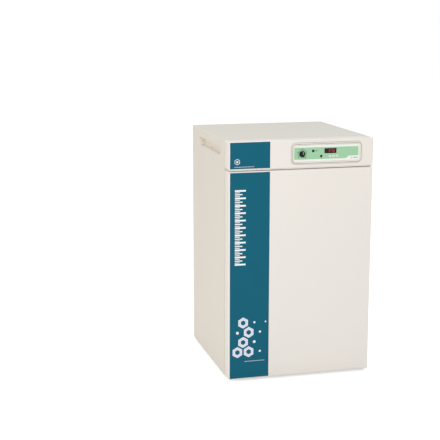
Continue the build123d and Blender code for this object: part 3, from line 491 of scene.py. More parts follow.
def add_bump(finish, height, depth):
    """Bump node from a height socket, with a depth in metres, into the shader's normal."""
    tree = finish.node_tree
    bump = tree.nodes.new("ShaderNodeBump")
    bump.inputs["Strength"].default_value = 1.0
    bump.inputs["Distance"].default_value = depth
    tree.links.new(height, bump.inputs["Height"])
    feed(finish, bump, Normal="Normal")


def wear(finish, *part_names):
    """Gives a finish to CAD parts."""
    for part_name in part_names:
        for slot in nodes[part_name].material_slots:
            slot.material = finish


print("material helpers ready")

# %% [markdown]
# Sprayed enamel is paint on steel: a plain dielectric with a soft sheen. The front is a warm
# ivory. The wrap round the sides and top is the same paint, but it gets its own darker and warmer
# colour here, which is painted shade for its less lit faces. The recessed grips get a lighter
# colour of the same paint, which is painted light that lifts the shade in their recesses.

# %% Enamel finishes
PEEL_DEPTH = 0.00003
DUST_AND_SHADE_HEIGHT = 0.07


def enamel(name, tint, roughness, dust_and_shade):
    """Sprayed enamel with orange peel, slow colour drift, and a little dust and painted shade
    darkening it near the floor.
    """
    finish, shader = new_finish(name)
    coat = use_group(finish, enamel_group, Colour=tint, Drift=0.035, Roughness=roughness)
    low = use_group(finish, dust_and_shade_group, Height=DUST_AND_SHADE_HEIGHT, Amount=dust_and_shade)
    finish.node_tree.links.new(coat.outputs["Colour"], low.inputs["Colour"])
    feed(finish, low, Colour="Base Color")
    feed(finish, coat, Roughness="Roughness")
    add_bump(finish, coat.outputs["Height"], PEEL_DEPTH)
    shader.inputs["Specular IOR Level"].default_value = 0.4
    return finish


enamel_front = enamel("enamel_front", FRONT_IVORY, 0.38, 0.06)
# Darker, warmer colour of the same paint: painted shade on the sides, top and back.
enamel_case = enamel("enamel_case", colour(227, 220, 208), 0.42, 0.12)
enamel_inner = enamel("enamel_inner", colour(232, 227, 218), 0.4, 0.0)
# Lighter colour: painted light that cancels the shade inside the grip recesses.
enamel_grip_painted_light = enamel("enamel_grip_painted_light", colour(238, 231, 221), 0.42, 0.0)
wear(enamel_front, "door_skin", "fascia_panel")
wear(enamel_case, "outer_case", "back_panel", "base_pan")
wear(enamel_inner, "front_frame", "door_liner")
wear(enamel_grip_painted_light, "grip_left", "grip_right")
print("enamel finishes ready")

# %% [markdown]
# The chamber, shelves, uprights and clamps are stainless steel. The brushed lines run in the
# direction in which the sheet was ground. The floor of the electrical bay and the small parts
# that no one sees are galvanised or zinc plated: duller, with a mottled grey. The hinges are
# darker.

# %% Metal finishes
def bare_metal(name, tint, stretch, contrast, roughness, depth):
    """Metal with grinding lines, whose stretch is the noise scale along each axis."""
    finish, shader = new_finish(name)
    lines = use_group(
        finish, brushed_group, Colour=tint, Stretch=stretch, Contrast=contrast, Roughness=roughness
    )
    feed(finish, lines, Colour="Base Color", Roughness="Roughness")
    add_bump(finish, lines.outputs["Height"], depth)
    shader.inputs["Metallic"].default_value = 1.0
    return finish


steel_upright = bare_metal(
    "steel_upright", colour(205, 205, 202), (700.0, 700.0, 9.0), 0.10, 0.30, 0.000004
)
steel_across = bare_metal(
    "steel_across", colour(208, 208, 205), (9.0, 700.0, 700.0), 0.12, 0.27, 0.000004
)
galvanised = bare_metal(
    "galvanised", colour(176, 180, 182), (60.0, 60.0, 60.0), 0.30, 0.42, 0.000006
)
zinc_plated = bare_metal(
    "zinc_plated", colour(188, 188, 184), (220.0, 220.0, 220.0), 0.16, 0.34, 0.000005
)
aluminium = bare_metal(
    "aluminium", colour(198, 200, 203), (12.0, 500.0, 500.0), 0.12, 0.36, 0.000005
)
hinge_steel = bare_metal(
    "hinge_steel", colour(112, 108, 102), (220.0, 220.0, 220.0), 0.16, 0.38, 0.000005
)
print("metal finishes ready")

# %% Metal parts
wear(steel_upright, "chamber_liner", "shelf_uprights", "temperature_probe", "glass_strike")
wear(
    steel_across, "shelf_runners", "shelf_1", "shelf_2", "shelf_3", "glass_clamps",
    "glass_brackets",
)
wear(galvanised, "bay_floor")
wear(zinc_plated, "thermostat", "knob_shaft", "board_standoffs", "transformer_core")
wear(aluminium, "relay_sink")
wear(hinge_steel, "hinge_lower", "hinge_upper")
print("metal parts dressed")

# %% [markdown]
# Plastics, rubbers, wool and foam differ in colour, grain and gloss. One helper
# makes them all, and its values say what each one is.

# %% Plastic and rubber finishes
def moulded(name, tint, grain, contrast, roughness, depth):
    """Plastic, rubber or fibre with a random grain, given per metre, and its depth in metres."""
    finish, shader = new_finish(name)
    skin = use_group(
        finish, moulded_group, Colour=tint, Grain_per_metre=grain, Contrast=contrast,
        Roughness=roughness,
    )
    feed(finish, skin, Colour="Base Color", Roughness="Roughness")
    add_bump(finish, skin.outputs["Height"], depth)
    return finish


bezel_plastic = moulded("bezel_plastic", colour(233, 227, 217), 1500.0, 0.05, 0.36, 0.00002)
key_plastic = moulded("key_plastic", colour(240, 238, 228), 1800.0, 0.05, 0.34, 0.00001)
black_plastic = moulded("black_plastic", colour(24, 24, 26), 1700.0, 0.30, 0.38, 0.00002)
lamp_lens = moulded("lamp_lens", colour(16, 16, 18), 900.0, 0.20, 0.14, 0.000004)
nylon = moulded("nylon", colour(222, 218, 206), 1200.0, 0.08, 0.45, 0.00002)
rubber = moulded("rubber", colour(30, 30, 31), 1100.0, 0.35, 0.72, 0.00004)
gasket_rubber = moulded("gasket_rubber", colour(150, 149, 146), 1300.0, 0.10, 0.55, 0.00003)
silicone = moulded("silicone", colour(226, 224, 214), 1000.0, 0.08, 0.42, 0.00002)
mineral_wool = moulded("mineral_wool", colour(196, 180, 120), 240.0, 0.50, 0.95, 0.0006)
foam = moulded("foam", colour(232, 216, 168), 420.0, 0.22, 0.85, 0.0003)
heating_mat = moulded("heating_mat", colour(176, 84, 44), 700.0, 0.12, 0.6, 0.00005)
board_lacquer = moulded("board_lacquer", colour(22, 92, 56), 800.0, 0.25, 0.32, 0.00001)
coil_tape = moulded("coil_tape", colour(206, 168, 52), 500.0, 0.15, 0.4, 0.00002)
print("moulded finishes ready")

# %% Plastic and rubber parts
wear(bezel_plastic, "control_bezel")
wear(key_plastic, "button_1", "button_2", "button_3")
wear(
    black_plastic, "pointer_knob", "power_inlet", "rocker_housing", "rocker", "relay_body",
    "glass_pull", "glass_catch", "key_switches", "display_module",
)
wear(lamp_lens, "lamp_1", "lamp_2")
wear(nylon, "door_pivots")
wear(rubber, "levelling_feet")
wear(gasket_rubber, "door_gasket")
wear(silicone, "glass_seal")
wear(mineral_wool, "case_insulation")
wear(foam, "door_insulation")
wear(heating_mat, "heater_mats")
wear(board_lacquer, "control_board")
wear(coil_tape, "transformer_coil")
print("moulded parts dressed")

# %% [markdown]
# The coloured strip and the panel's overlay are printed films. A print has no grain of its
# own. It has a thin clear coat, a slight mottle of the ink, and smears where it was wiped.

# %% Printed finishes
def printed(name, tint, mottle, roughness, smear):
    """Printed ink under a clear film."""
    finish, shader = new_finish(name)
    ink = use_group(finish, moulded_group, Colour=tint, Grain_per_metre=260.0, Contrast=mottle)
    wiped = use_group(finish, wiped_group, Roughness=roughness, Smear=smear)
    feed(finish, ink, Colour="Base Color")
    feed(finish, wiped, Roughness="Roughness")
    add_bump(finish, ink.outputs["Height"], 0.000004)
    shader.inputs["Specular IOR Level"].default_value = 0.1
    return finish


film_teal = printed("film_teal", colour(20, 97, 119), 0.12, 0.30, 0.16)
print_white = printed("print_white", colour(244, 245, 246), 0.03, 0.3, 0.1)
print_pale = printed("print_pale", colour(214, 218, 236), 0.04, 0.3, 0.1)
overlay_white = printed("overlay_white", colour(240, 242, 238), 0.03, 0.3, 0.12)
print_green = printed("print_green", colour(162, 207, 168), 0.08, 0.3, 0.12)
print_dark = printed("print_dark", colour(52, 66, 56), 0.15, 0.35, 0.1)
print_amber = printed("print_amber", colour(224, 178, 60), 0.06, 0.3, 0.1)
print_blue = printed("print_blue", colour(126, 150, 200), 0.06, 0.3, 0.1)
wear(film_teal, "door_film", "fascia_film")
wear(overlay_white, "control_overlay")
print("printed finishes ready")

# %% [markdown]
# The display window is dark tinted acrylic over the digits, and the inner door is clear
# toughened glass with a faint green tint. Glass keeps a plain transmission value. Only
# its roughness changes over the surface.

# %% Window and glass
GLASS_TINT = (0.93, 0.97, 0.95, 1.0)

window_dark, shader = new_finish("window_dark")
wiped = use_group(window_dark, wiped_group, Roughness=0.06, Smear=0.1, Smears_per_metre=60.0)
ink = use_group(
    window_dark, moulded_group, Colour=colour(26, 12, 14), Grain_per_metre=300.0, Contrast=0.2
)
feed(window_dark, wiped, Roughness="Roughness")
feed(window_dark, ink, Colour="Base Color")
wear(window_dark, "display_window")

door_glass, shader = new_finish("door_glass")
wiped = use_group(door_glass, wiped_group, Roughness=0.0, Smear=0.05, Smears_per_metre=9.0)
feed(door_glass, wiped, Roughness="Roughness")
shader.inputs["Base Color"].default_value = GLASS_TINT
shader.inputs["Transmission Weight"].default_value = 1.0
shader.inputs["IOR"].default_value = 1.5
wear(door_glass, "glass_pane")
print("glass ready")

# %% [markdown]
# ## Flat prints
#
# Every print is made the same way. Its outlines are drawn as closed lines in a flat curve, which
# Blender fills. A line inside another line leaves a hole, so a ring needs no boolean. The curve
# gets a thickness of a tenth of a millimetre and becomes a mesh that lies on the surface that
# carries it. This is simpler than a texture, and the print is a real shape.

# %% Print helpers
MM = 0.001
PRINT_T = 0.1 * MM


def filled_mesh(name, outlines, thickness):
    """Closed mesh from outlines in millimetres in the XY plane, from z = 0 to the thickness."""
    curve = bpy.data.curves.new(name, "CURVE")
    curve.dimensions = "2D"
    curve.fill_mode = "BOTH"
    curve.extrude = thickness / 2
    for outline in outlines:
        spline = curve.splines.new("POLY")
        spline.points.add(len(outline) - 1)
        for point, (across, up) in zip(spline.points, outline):
            point.co = (across * MM, up * MM, 0.0, 1.0)
        spline.use_cyclic_u = True
    holder = bpy.data.objects.new(name, curve)
    scene.collection.objects.link(holder)
    bpy.context.view_layer.update()
    shape = holder.evaluated_get(bpy.context.evaluated_depsgraph_get())
    mesh = bpy.data.meshes.new_from_object(shape)
    bpy.data.objects.remove(holder)
    bpy.data.curves.remove(curve)
    mesh.transform(Matrix.Translation((0, 0, thickness / 2)))
    work = bmesh.new()
    work.from_mesh(mesh)
    bmesh.ops.remove_doubles(work, verts=work.verts, dist=1e-6)
    bmesh.ops.recalc_face_normals(work, faces=work.faces)
    work.to_mesh(mesh)
    work.free()
    return mesh


def add_piece(name, mesh, finish, body):
    """Object from a mesh, with its finish, that rides on a CAD body."""
    piece = bpy.data.objects.new(name, mesh)
    piece.data.materials.clear()
    piece.data.materials.append(finish)
    scene.collection.objects.link(piece)
    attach(piece, body)


def front_print(name, outlines, y_face, finish, body, thickness=PRINT_T):
    """Print on a surface that faces the front. Outlines are x and z in millimetres."""
    mesh = filled_mesh(name, outlines, thickness)
    mesh.transform(Matrix.Rotation(math.radians(90), 4, "X"))
    mesh.transform(Matrix.Translation((0, y_face, 0)))
    add_piece(name, mesh, finish, body)


print("print helpers ready, thickness", PRINT_T)

# %% Outline helpers
def box_line(x0, x1, z0, z1):
    """Rectangle between two corners."""
    return [(x0, z0), (x1, z0), (x1, z1), (x0, z1)]


def round_box_line(x0, x1, z0, z1, radius, steps=6):
    """Rectangle with rounded corners."""
    points = []
    corners = ((x1, z0, -90), (x1, z1, 0), (x0, z1, 90), (x0, z0, 180))
    for x, z, start in corners:
        middle_x = x - radius if x == x1 else x + radius
        middle_z = z - radius if z == z1 else z + radius
        for step in range(steps + 1):
            angle = math.radians(start + 90 * step / steps)
            across, up = radius * math.cos(angle), radius * math.sin(angle)
            points.append((middle_x + across, middle_z + up))
    return points


def regular_line(x, z, radius, sides, turn=0.0):
    """Regular polygon, with its first corner at the given angle in degrees."""
    step = 2 * math.pi / sides
    start = math.radians(turn)
    return [
        (x + radius * math.cos(start + i * step), z + radius * math.sin(start + i * step))
        for i in range(sides)
    ]


def hexagon(x, z, radius):
    """Hexagon that stands on a corner."""
    return regular_line(x, z, radius, 6, 90)


def bar_line(x, z, angle, inner, outer, width):
    """Bar that points away from a centre, between two radii."""
    along = (math.cos(angle), math.sin(angle))
    side = (-along[1] * width / 2, along[0] * width / 2)
    return [
        (x + along[0] * inner - side[0], z + along[1] * inner - side[1]),
        (x + along[0] * outer - side[0], z + along[1] * outer - side[1]),
        (x + along[0] * outer + side[0], z + along[1] * outer + side[1]),
        (x + along[0] * inner + side[0], z + along[1] * inner + side[1]),
    ]


print("corners of a square", regular_line(0, 0, 1, 4))

# %% [markdown]
# ## The coloured strip
#
# A plain scale runs up the strip, with long bars and short bars as on a thermometer. It is
# white and easy to read from across a room. Its sizes are in millimetres, and its place is
# counted from the film's own left edge.

# %% Scale on the strip
film_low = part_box("door_film")[0]
film_x = film_low[0] / MM
y_film = film_low[1]
SCALE_X = film_x + 20.0
SCALE_Z = 492.0
SCALE_STEP = 29.7
SCALE_STEPS = 10
LONG_BAR = (44.5, 3.4)
# Each short bar's place as a share of a step, its length and half its thickness.
SHORT_BARS = ((0.25, 20, 1.5), (0.5, 31, 2.2), (0.75, 20, 1.5))


def scale_bar(z, length, half):
    """Bar that starts at the scale's left edge."""
    return box_line(SCALE_X, SCALE_X + length, z - half, z + half)


bars = []
for number in range(SCALE_STEPS + 1):
    z = SCALE_Z + number * SCALE_STEP
    bars.append(scale_bar(z, *LONG_BAR))
    if number < SCALE_STEPS:
        for share, length, half in SHORT_BARS:
            bars.append(scale_bar(z + share * SCALE_STEP, length, half))
front_print("strip_scale", bars, y_film, print_white, "door")
print("bars on the scale", len(bars))

# %% [markdown]
# Near the foot of the strip sits a honeycomb patch: six-sided rings in two tones with
# small hexagons beside them. Hexagons pack on a grid whose rows are offset by half a
# step, so a short list of column and row numbers places them all.

# %% Honeycomb on the strip
CELL_R = 23.0
CELL_STEP = 47.0
CELL_X = film_x + 32.0
CELL_Z = 128.0
# Radii from the outside in: white edge, pale ring, white inner edge.
EDGE_R = CELL_R - 2.2
RING_R = CELL_R - 9.5
INNER_R = CELL_R - 12.0
RING_CELLS = ((0, 0), (1, 0), (0, 1), (1, 2), (0, 3))


def cell_place(column, row):
    """Centre of a honeycomb cell."""
    shift = CELL_STEP / 2 if row % 2 else 0.0
    return (CELL_X + column * CELL_STEP + shift, CELL_Z + row * CELL_STEP * math.sqrt(3) / 2)


ring_lines = []
edge_lines = []
for column, row in RING_CELLS:
    x, z = cell_place(column, row)
    ring_lines += [hexagon(x, z, EDGE_R), hexagon(x, z, RING_R)]
    edge_lines += [hexagon(x, z, radius) for radius in (CELL_R, EDGE_R, RING_R, INNER_R)]
front_print("honeycomb_rings", ring_lines, y_film, print_pale, "door")
front_print("honeycomb_edges", edge_lines, y_film, print_white, "door")
print("honeycomb cells", len(RING_CELLS))

# %% Small hexagons and the rule under the honeycomb
# Column, row and radius of each small hexagon.
SEEDS = (
    (0, 2, 6.5), (1, 1, 6.5), (2, 0, 5.0),
    (2, 2, 5.0), (1, 3, 5.0), (2, 3, 3.5),
)
RULE_FROM = film_x + 62
RULE_TO = film_x + 146
RULE_Z = CELL_Z - 40.0
RULE_HALF = 0.9

seeds = []
for column, row, radius in SEEDS:
    x, z = cell_place(column, row)
    seeds.append(hexagon(x, z, radius))
front_print("honeycomb_seeds", seeds, y_film, print_white, "door")
rule = box_line(RULE_FROM, RULE_TO, RULE_Z - RULE_HALF, RULE_Z + RULE_HALF)
front_print("strip_rule_low", [rule], y_film, print_pale, "door")
print("small hexagons", len(seeds))

# %% [markdown]
# The upper end of the strip lies on the fascia and stays on the cabinet. It carries one
# hexagon ring and a rule under it.

# %% Mark on the fascia's strip
fascia_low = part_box("fascia_film")[0]
MARK_X = fascia_low[0] / MM + 29.0
MARK_Z = fascia_low[2] / MM + 28.0
MARK_RADII = (12, 9.8, 4.5)

mark = [hexagon(MARK_X, MARK_Z, radius) for radius in MARK_RADII]
front_print("strip_mark", mark, fascia_low[1], print_white, "cabinet")
rule = box_line(MARK_X - 11, MARK_X + 70, MARK_Z - 21.2, MARK_Z - 19.6)
front_print("strip_rule_high", [rule], fascia_low[1], print_pale, "cabinet")
print("mark at", round(MARK_X, 1), round(MARK_Z, 1))

# %% [markdown]
# ## The control panel's print
#
# The overlay is white with a green field. The field leaves out a corner at the lower right,
# and it has holes for the knob, the lamps, the window and the keys. The holes are drawn
# from the places of the CAD parts that pass through, so they always fit.

# %% Green field
overlay_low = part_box("control_overlay")[0]
y_overlay = overlay_low[1]
left = overlay_low[0] / MM
base = overlay_low[2] / MM
# Corners counted from the overlay's lower left corner.
FIELD = (
    (2.2, 9.0), (214, 8.6), (224, 11.5), (231, 18.5), (272, 18.8), (272, 55.5), (2.2, 56.5),
)
SHAFT_GAP = 2.4
HOLE_GAP = 0.4
KEY_GAP = 0.5
# The radius of a key's cap. The key's box is wider, by a collar behind the panel.
KEY_R = 4.8


def middle_of(node_name):
    """Centre of a part across and up, and its half width, in millimetres."""
    low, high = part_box(node_name)
    return (
        (low[0] + high[0]) / 2 / MM, (low[2] + high[2]) / 2 / MM, (high[0] - low[0]) / 2 / MM
    )


field = [(left + across, base + up) for across, up in FIELD]
dial_x, dial_z, shaft_half = middle_of("knob_shaft")
holes = [regular_line(dial_x, dial_z, shaft_half + SHAFT_GAP, 32)]
for lamp_name in ("lamp_1", "lamp_2"):
    x, z, half = middle_of(lamp_name)
    holes.append(regular_line(x, z, half + HOLE_GAP, 24))
window_low, window_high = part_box("display_window")
holes.append(
    box_line(
        window_low[0] / MM - HOLE_GAP, window_high[0] / MM + HOLE_GAP,
        window_low[2] / MM - HOLE_GAP, window_high[2] / MM + HOLE_GAP,
    )
)
for key_name in ("button_1", "button_2", "button_3"):
    x, z = middle_of(key_name)[:2]
    holes.append(regular_line(x, z, KEY_R + KEY_GAP, 24))
front_print("panel_green", [field] + holes, y_overlay, print_green, "cabinet")
print("holes in the green field", len(holes))

# %% [markdown]
# The frame of the panel stands 5 mm proud. A seam runs round it where it meets the steel, and its
# face has a moulded groove. The groove is too fine to be seen from far off, so a thin grey ring
# lies over it as painted shade, and another ring on the steel round the frame is the painted
# shadow of the seam.

# %% Painted shade at the seam and groove of the panel frame
bezel_low, bezel_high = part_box("control_bezel")
bezel_box = [bezel_low[0] / MM, bezel_high[0] / MM, bezel_low[2] / MM, bezel_high[2] / MM]
FRAME_CORNER = 18.0


def frame_ring(inset, width):
    """Two rounded rectangles that follow the panel frame, the outer one set in by a distance."""
    x0, x1, z0, z1 = bezel_box
    return [
        round_box_line(x0 + far, x1 - far, z0 + far, z1 - far, FRAME_CORNER - far)
        for far in (inset, inset + width)
    ]


# Grey-brown colours for the two rings: painted shadow at the seam, painted shade in the groove.
seam_shade = moulded("seam_shade", colour(146, 139, 131), 900.0, 0.15, 0.6, 0.00002)
groove_shade = moulded("groove_shade", colour(134, 128, 121), 900.0, 0.10, 0.5, 0.00002)
seam_shadow_rings = frame_ring(-1.2, 1.4)
groove_shade_rings = frame_ring(3.5, 1.8)
front_print("bezel_seam_shadow", seam_shadow_rings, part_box("fascia_panel")[0][1], seam_shade, "cabinet")
front_print("bezel_groove_shade", groove_shade_rings, bezel_low[1], groove_shade, "cabinet")
print("panel frame", [round(v, 1) for v in bezel_box])

# %% [markdown]
# Under the fascia runs a slim trim strip of the same enamel. It leaves 3 mm above the door, so
# the gap reads as a fine line. The door turns on an upright axis and never meets it.

# %% Trim strip under the fascia
TRIM_T = 3.0
TRIM_IN = 1.6
TRIM_BACK = 1.0
TRIM_CORNER = 4.0

panel_low, panel_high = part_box("fascia_panel")
trim_outline = round_box_line(
    panel_low[0] / MM + TRIM_IN, panel_high[0] / MM - TRIM_IN,
    panel_low[1] / MM + TRIM_IN, panel_high[1] / MM - TRIM_BACK, TRIM_CORNER,
)
trim_mesh = filled_mesh("fascia_trim", [trim_outline], TRIM_T * MM)
trim_mesh.transform(Matrix.Translation((0, 0, panel_low[2] - TRIM_T * MM)))
add_piece("fascia_trim", trim_mesh, enamel_front, "cabinet")
print("trim strip", TRIM_T, "mm high")

# %% [markdown]
# The dial has a fan of ticks round the knob, over the 270 degrees that it turns. Every
# fifth tick is longer and bolder.

# %% Dial ticks
TICKS = 21
DIAL_START = 225
DIAL_SWEEP = 270
TICK_INNER = 15.4
# Outer radius and width of a tick.
LONG_TICK = (22.4, 1.8)
SHORT_TICK = (19.4, 1.0)

ticks = []
for number in range(TICKS):
    angle = math.radians(DIAL_START - number * DIAL_SWEEP / (TICKS - 1))
    outer, width = SHORT_TICK if number % 5 else LONG_TICK
    ticks.append(bar_line(dial_x, dial_z, angle, TICK_INNER, outer, width))
front_print("dial_ticks", ticks, y_overlay - PRINT_T, print_dark, "cabinet")
print("ticks", len(ticks))

# %% [markdown]
# Each lamp sits in a dark collar, and short plain marks lie beside the lamps. A small ring and
# a bar fill the white corner of the panel.

# %% Lamp collars and panel marks
COLLAR_OUT = 1.7
COLLAR_IN = 0.1
MARK_T = 1.0


def lamp_mark(x, z, across, length, up):
    """Short bar whose lower left corner is counted from a lamp's centre."""
    return box_line(x + across, x + across + length, z + up, z + up + MARK_T)


lamp_x, lamp_z, lamp_half = middle_of("lamp_1")
low_x, low_z, low_half = middle_of("lamp_2")
collars = []
for x, z, half in ((lamp_x, lamp_z, lamp_half), (low_x, low_z, low_half)):
    collars += [regular_line(x, z, half + out, 28) for out in (COLLAR_OUT, COLLAR_IN)]
front_print("lamp_collars", collars, y_overlay - PRINT_T, black_plastic, "cabinet")
marks = [
    lamp_mark(lamp_x, lamp_z, 9.0, 11.0, 1.0),
    lamp_mark(lamp_x, lamp_z, 9.0, 7.0, -1.6),
    lamp_mark(low_x, low_z, -4.5, 9.0, -8.0),
]
front_print("panel_marks", marks, y_overlay - PRINT_T, print_dark, "cabinet")
print("marks", len(marks))

# %% Corner of the panel
CORNER_X = left + 243
CORNER_Z = base + 10.5
CORNER_RADII = (4.2, 2.4)
BLUE_HALF = 1.4

ring = [hexagon(CORNER_X, CORNER_Z, radius) for radius in CORNER_RADII]
front_print("panel_corner_mark", ring, y_overlay, print_amber, "cabinet")
rule = box_line(CORNER_X + 7, CORNER_X + 27, CORNER_Z - BLUE_HALF, CORNER_Z + BLUE_HALF)
front_print("panel_corner_rule", [rule], y_overlay, print_blue, "cabinet")
print("corner mark at", round(CORNER_X, 1), round(CORNER_Z, 1))

# %% [markdown]
# ## The digits
#
# A seven-segment display lights bars behind the window. The lit ones glow red and the
# unlit ones are just visible as dark red. A segment is a bar with pointed ends, and each
# digit is a list of the segments that are on. The whole display leans a few degrees, as
# real ones do.

# %% Digits
window_x = (window_low[0] + window_high[0]) / 2 / MM
window_z = (window_low[2] + window_high[2]) / 2 / MM
READING = " 370"
DIGIT_H = 10.6
DIGIT_W = 5.4
DIGIT_STEP = 9.6
BAR_T = 1.25
BAR_GAP = 0.35
POINT_R = 0.85
LEAN = math.tan(math.radians(8))
# Each segment's place across and up, as shares of the digit's size, and whether it is level.
SEGMENTS = {
    "top": (0.0, 0.5, True), "middle": (0.0, 0.0, True), "foot": (0.0, -0.5, True),
    "left_high": (-0.5, 0.25, False), "right_high": (0.5, 0.25, False),
    "left_low": (-0.5, -0.25, False), "right_low": (0.5, -0.25, False),
}
DIGITS = {
    " ": (),
    "3": ("top", "middle", "foot", "right_high", "right_low"),
    "7": ("top", "right_high", "right_low"),
    "0": ("top", "foot", "left_high", "left_low", "right_high", "right_low"),
}


def segment_line(x, z, level):
    """Pointed bar, lying or standing, that leans with the display."""
    half = (DIGIT_W if level else DIGIT_H / 2) / 2 - BAR_GAP
    tip = BAR_T / 2
    bar = [(-half, 0), (tip - half, tip), (half - tip, tip), (half, 0), (half - tip, -tip),
           (tip - half, -tip)]
    if not level:
        bar = [(-b, a) for a, b in bar]
    points = []
    for a, b in bar:
        up = z + b
        points.append((x + a + (up - window_z) * LEAN, up))
    return points


lit = []
unlit = []
for number, digit in enumerate(READING):
    x = window_x + (number - (len(READING) - 1) / 2) * DIGIT_STEP
    for name, (across, up, level) in SEGMENTS.items():
        line = segment_line(x + across * DIGIT_W, window_z + up * DIGIT_H, level)
        (lit if name in DIGITS[digit] else unlit).append(line)
point_x = window_x + DIGIT_STEP + 0.5
lit.append(regular_line(point_x, window_z - DIGIT_H / 2, POINT_R, 12))
print("lit bars", len(lit), "unlit bars", len(unlit))

# %% Digit finishes
RED_GLOW = (0.72, 0.05, 0.05, 1.0)
RED_UNLIT = (0.25, 0.01, 0.01, 1.0)

digits_red, shader = new_finish("digits_red")
glow = use_group(digits_red, moulded_group, Colour=RED_GLOW, Grain_per_metre=900.0, Contrast=0.25)
feed(digits_red, glow, Colour="Emission Color")
shader.inputs["Emission Strength"].default_value = 0.9
shader.inputs["Base Color"].default_value = RED_UNLIT
digits_off = moulded("digits_off", colour(46, 22, 24), 900.0, 0.2, 0.3, 0.000002)
front_print("digits_lit", lit, window_low[1], digits_red, "cabinet")
front_print("digits_unlit", unlit, window_low[1], digits_off, "cabinet")
print("digits made")

# %% [markdown]
# ## Marks on the knob and keys
#
# Each of these moves with its own part, so it rides on that part's body: the pointer line on
# the knob, and an arrow or a bar on each key.

# %% Line on the knob
LINE_HALF = 0.55
LINE_FROM = 11.6
LINE_TO = 2.9
LINE_T = 0.2 * MM

knob_low, knob_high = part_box("pointer_knob")
rib_x = (knob_low[0] + knob_high[0]) / 2 / MM
rib_z = knob_high[2] / MM
line = box_line(rib_x - LINE_HALF, rib_x + LINE_HALF, rib_z - LINE_FROM, rib_z - LINE_TO)
front_print("knob_line", [line], knob_low[1], print_white, "knob", LINE_T)
print("line", round(LINE_FROM - LINE_TO, 1), "mm long")

# %% Marks on the keys
ARROW_R = 2.4
DASH_HALF = (2.1, 0.6)


def dash_line(x, z):
    """Short level bar round a centre."""
    across, up = DASH_HALF
    return box_line(x - across, x + across, z - up, z + up)


key_lines = {
    "key_1": lambda x, z: regular_line(x, z, ARROW_R, 3, 90),
    "key_2": lambda x, z: regular_line(x, z, ARROW_R, 3, -90),
    "key_3": dash_line,
}
for number, (body, mark_line) in enumerate(key_lines.items(), start=1):
    key_x, key_z = middle_of(f"button_{number}")[:2]
    y_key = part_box(f"button_{number}")[0][1]
    front_print(f"key_mark_{number}", [mark_line(key_x, key_z)], y_key, print_dark, body)
print("marks on", list(key_lines))

# %% [markdown]
# ## Screws
#
# Sheet parts are held by cross-head screws. A screw head is a dome of rings: the outer rings
# are round, and the inner ones follow the four arms of the driver's cross and go down into
# the head. Joining ring to ring makes one closed mesh, with no boolean.

# %% Screw helper
AROUND = 32
ARM = 0.58
FLANK = 0.15
# Each ring's radius, as a share of the head's or of the cross, and its height as a share of
# the head's radius.
ROUND_RINGS = ((1.0, 0.0), (1.0, 0.18), (0.9, 0.38), (0.72, 0.52))
CROSS_RINGS = ((1.0, 0.56), (0.8, 0.16))


def cross_radius(angle, radius):
    """Radius of the driver's cross in one direction."""
    turn = angle % (math.pi / 2)
    turn = min(turn, math.pi / 2 - turn)
    arm = ARM * radius / math.cos(turn)
    flank = FLANK * radius / max(math.sin(turn), 0.05)
    return min(arm, flank)


def screw_head(radius):
    """Dome with a cross recess, from z = 0 up."""
    angles = [2 * math.pi * step / AROUND for step in range(AROUND)]
    rings = [([share * radius for _ in angles], height) for share, height in ROUND_RINGS]
    for share, height in CROSS_RINGS:
        rings.append(([share * cross_radius(angle, radius) for angle in angles], height))
    work = bmesh.new()
    loops = [
        [
            work.verts.new((far * math.cos(angle), far * math.sin(angle), height * radius))
            for angle, far in zip(angles, reach)
        ]
        for reach, height in rings
    ]
    for lower, upper in zip(loops, loops[1:]):
        for step in range(AROUND):
            after = (step + 1) % AROUND
            work.faces.new((lower[step], lower[after], upper[after], upper[step]))
    work.faces.new(list(reversed(loops[0])))
    work.faces.new(loops[-1])
    return work


print("ring points", AROUND)

# %% Screws on a surface
screw_steel = bare_metal(
    "screw_steel", colour(182, 182, 180), (900.0, 900.0, 900.0), 0.2, 0.3, 0.000003
)
# No two screws stop at the same angle. Each is turned by this much more than the last.
SCREW_TURN = 0.7


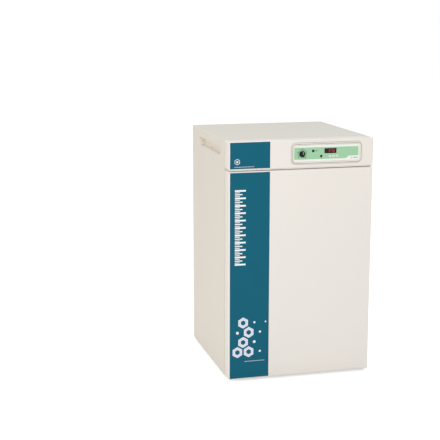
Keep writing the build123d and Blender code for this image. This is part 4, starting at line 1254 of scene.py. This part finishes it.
def screws(name, places, facing, radius, body):
    """Screw heads at places in metres, all facing one way, as one piece."""
    turn = Vector((0, 0, 1)).rotation_difference(Vector(facing)).to_matrix().to_4x4()
    whole = bmesh.new()
    for number, place in enumerate(places):
        head = screw_head(radius)
        spin = Matrix.Rotation(SCREW_TURN * number, 4, "Z")
        bmesh.ops.transform(head, matrix=Matrix.Translation(place) @ turn @ spin, verts=head.verts)
        part = bpy.data.meshes.new("part")
        head.to_mesh(part)
        head.free()
        whole.from_mesh(part)
        bpy.data.meshes.remove(part)
    mesh = bpy.data.meshes.new(name)
    bmesh.ops.recalc_face_normals(whole, faces=whole.faces)
    whole.to_mesh(mesh)
    whole.free()
    add_piece(name, mesh, screw_steel, body)


print("screw turn", SCREW_TURN)

# %% Screws of the back panel
BACK_EDGE = 10 * MM
BACK_ROWS = (0.27, 0.53, 0.79)
BACK_COLUMNS = (-0.14, 0.14)

back_low, back_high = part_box("back_panel")
rows = [back_low[2] + BACK_EDGE]
rows += [back_low[2] + up for up in BACK_ROWS]
rows += [back_high[2] - BACK_EDGE]
sides = (back_low[0] + BACK_EDGE, back_high[0] - BACK_EDGE)
places = [(x, back_high[1], z) for x in sides for z in rows]
places += [(x, back_high[1], z) for z in (rows[0], rows[-1]) for x in BACK_COLUMNS]
screws("back_screws", places, (0, 1, 0), 4.2 * MM, "cabinet")
print("back screws", len(places))

# %% Screws of the inlet and the lower hinge
INLET_EDGE = 0.0055
HINGE_STEPS = (0.009, 0.026)

inlet_low, inlet_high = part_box("power_inlet")
inlet_z = (inlet_low[2] + inlet_high[2]) / 2
sides = (inlet_low[0] + INLET_EDGE, inlet_high[0] - INLET_EDGE)
inlet_places = [(x, inlet_high[1], inlet_z) for x in sides]
screws("inlet_screws", inlet_places, (0, 1, 0), 2.6 * MM, "cabinet")
hinge_low, hinge_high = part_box("hinge_lower")
hinge_x = (hinge_low[0] + hinge_high[0]) / 2
hinge_places = [(hinge_x, hinge_high[1] - step, hinge_low[2]) for step in HINGE_STEPS]
screws("hinge_screws", hinge_places, (0, 0, -1), 3.4 * MM, "cabinet")
print("inlet", len(inlet_places), "hinge", len(hinge_places))
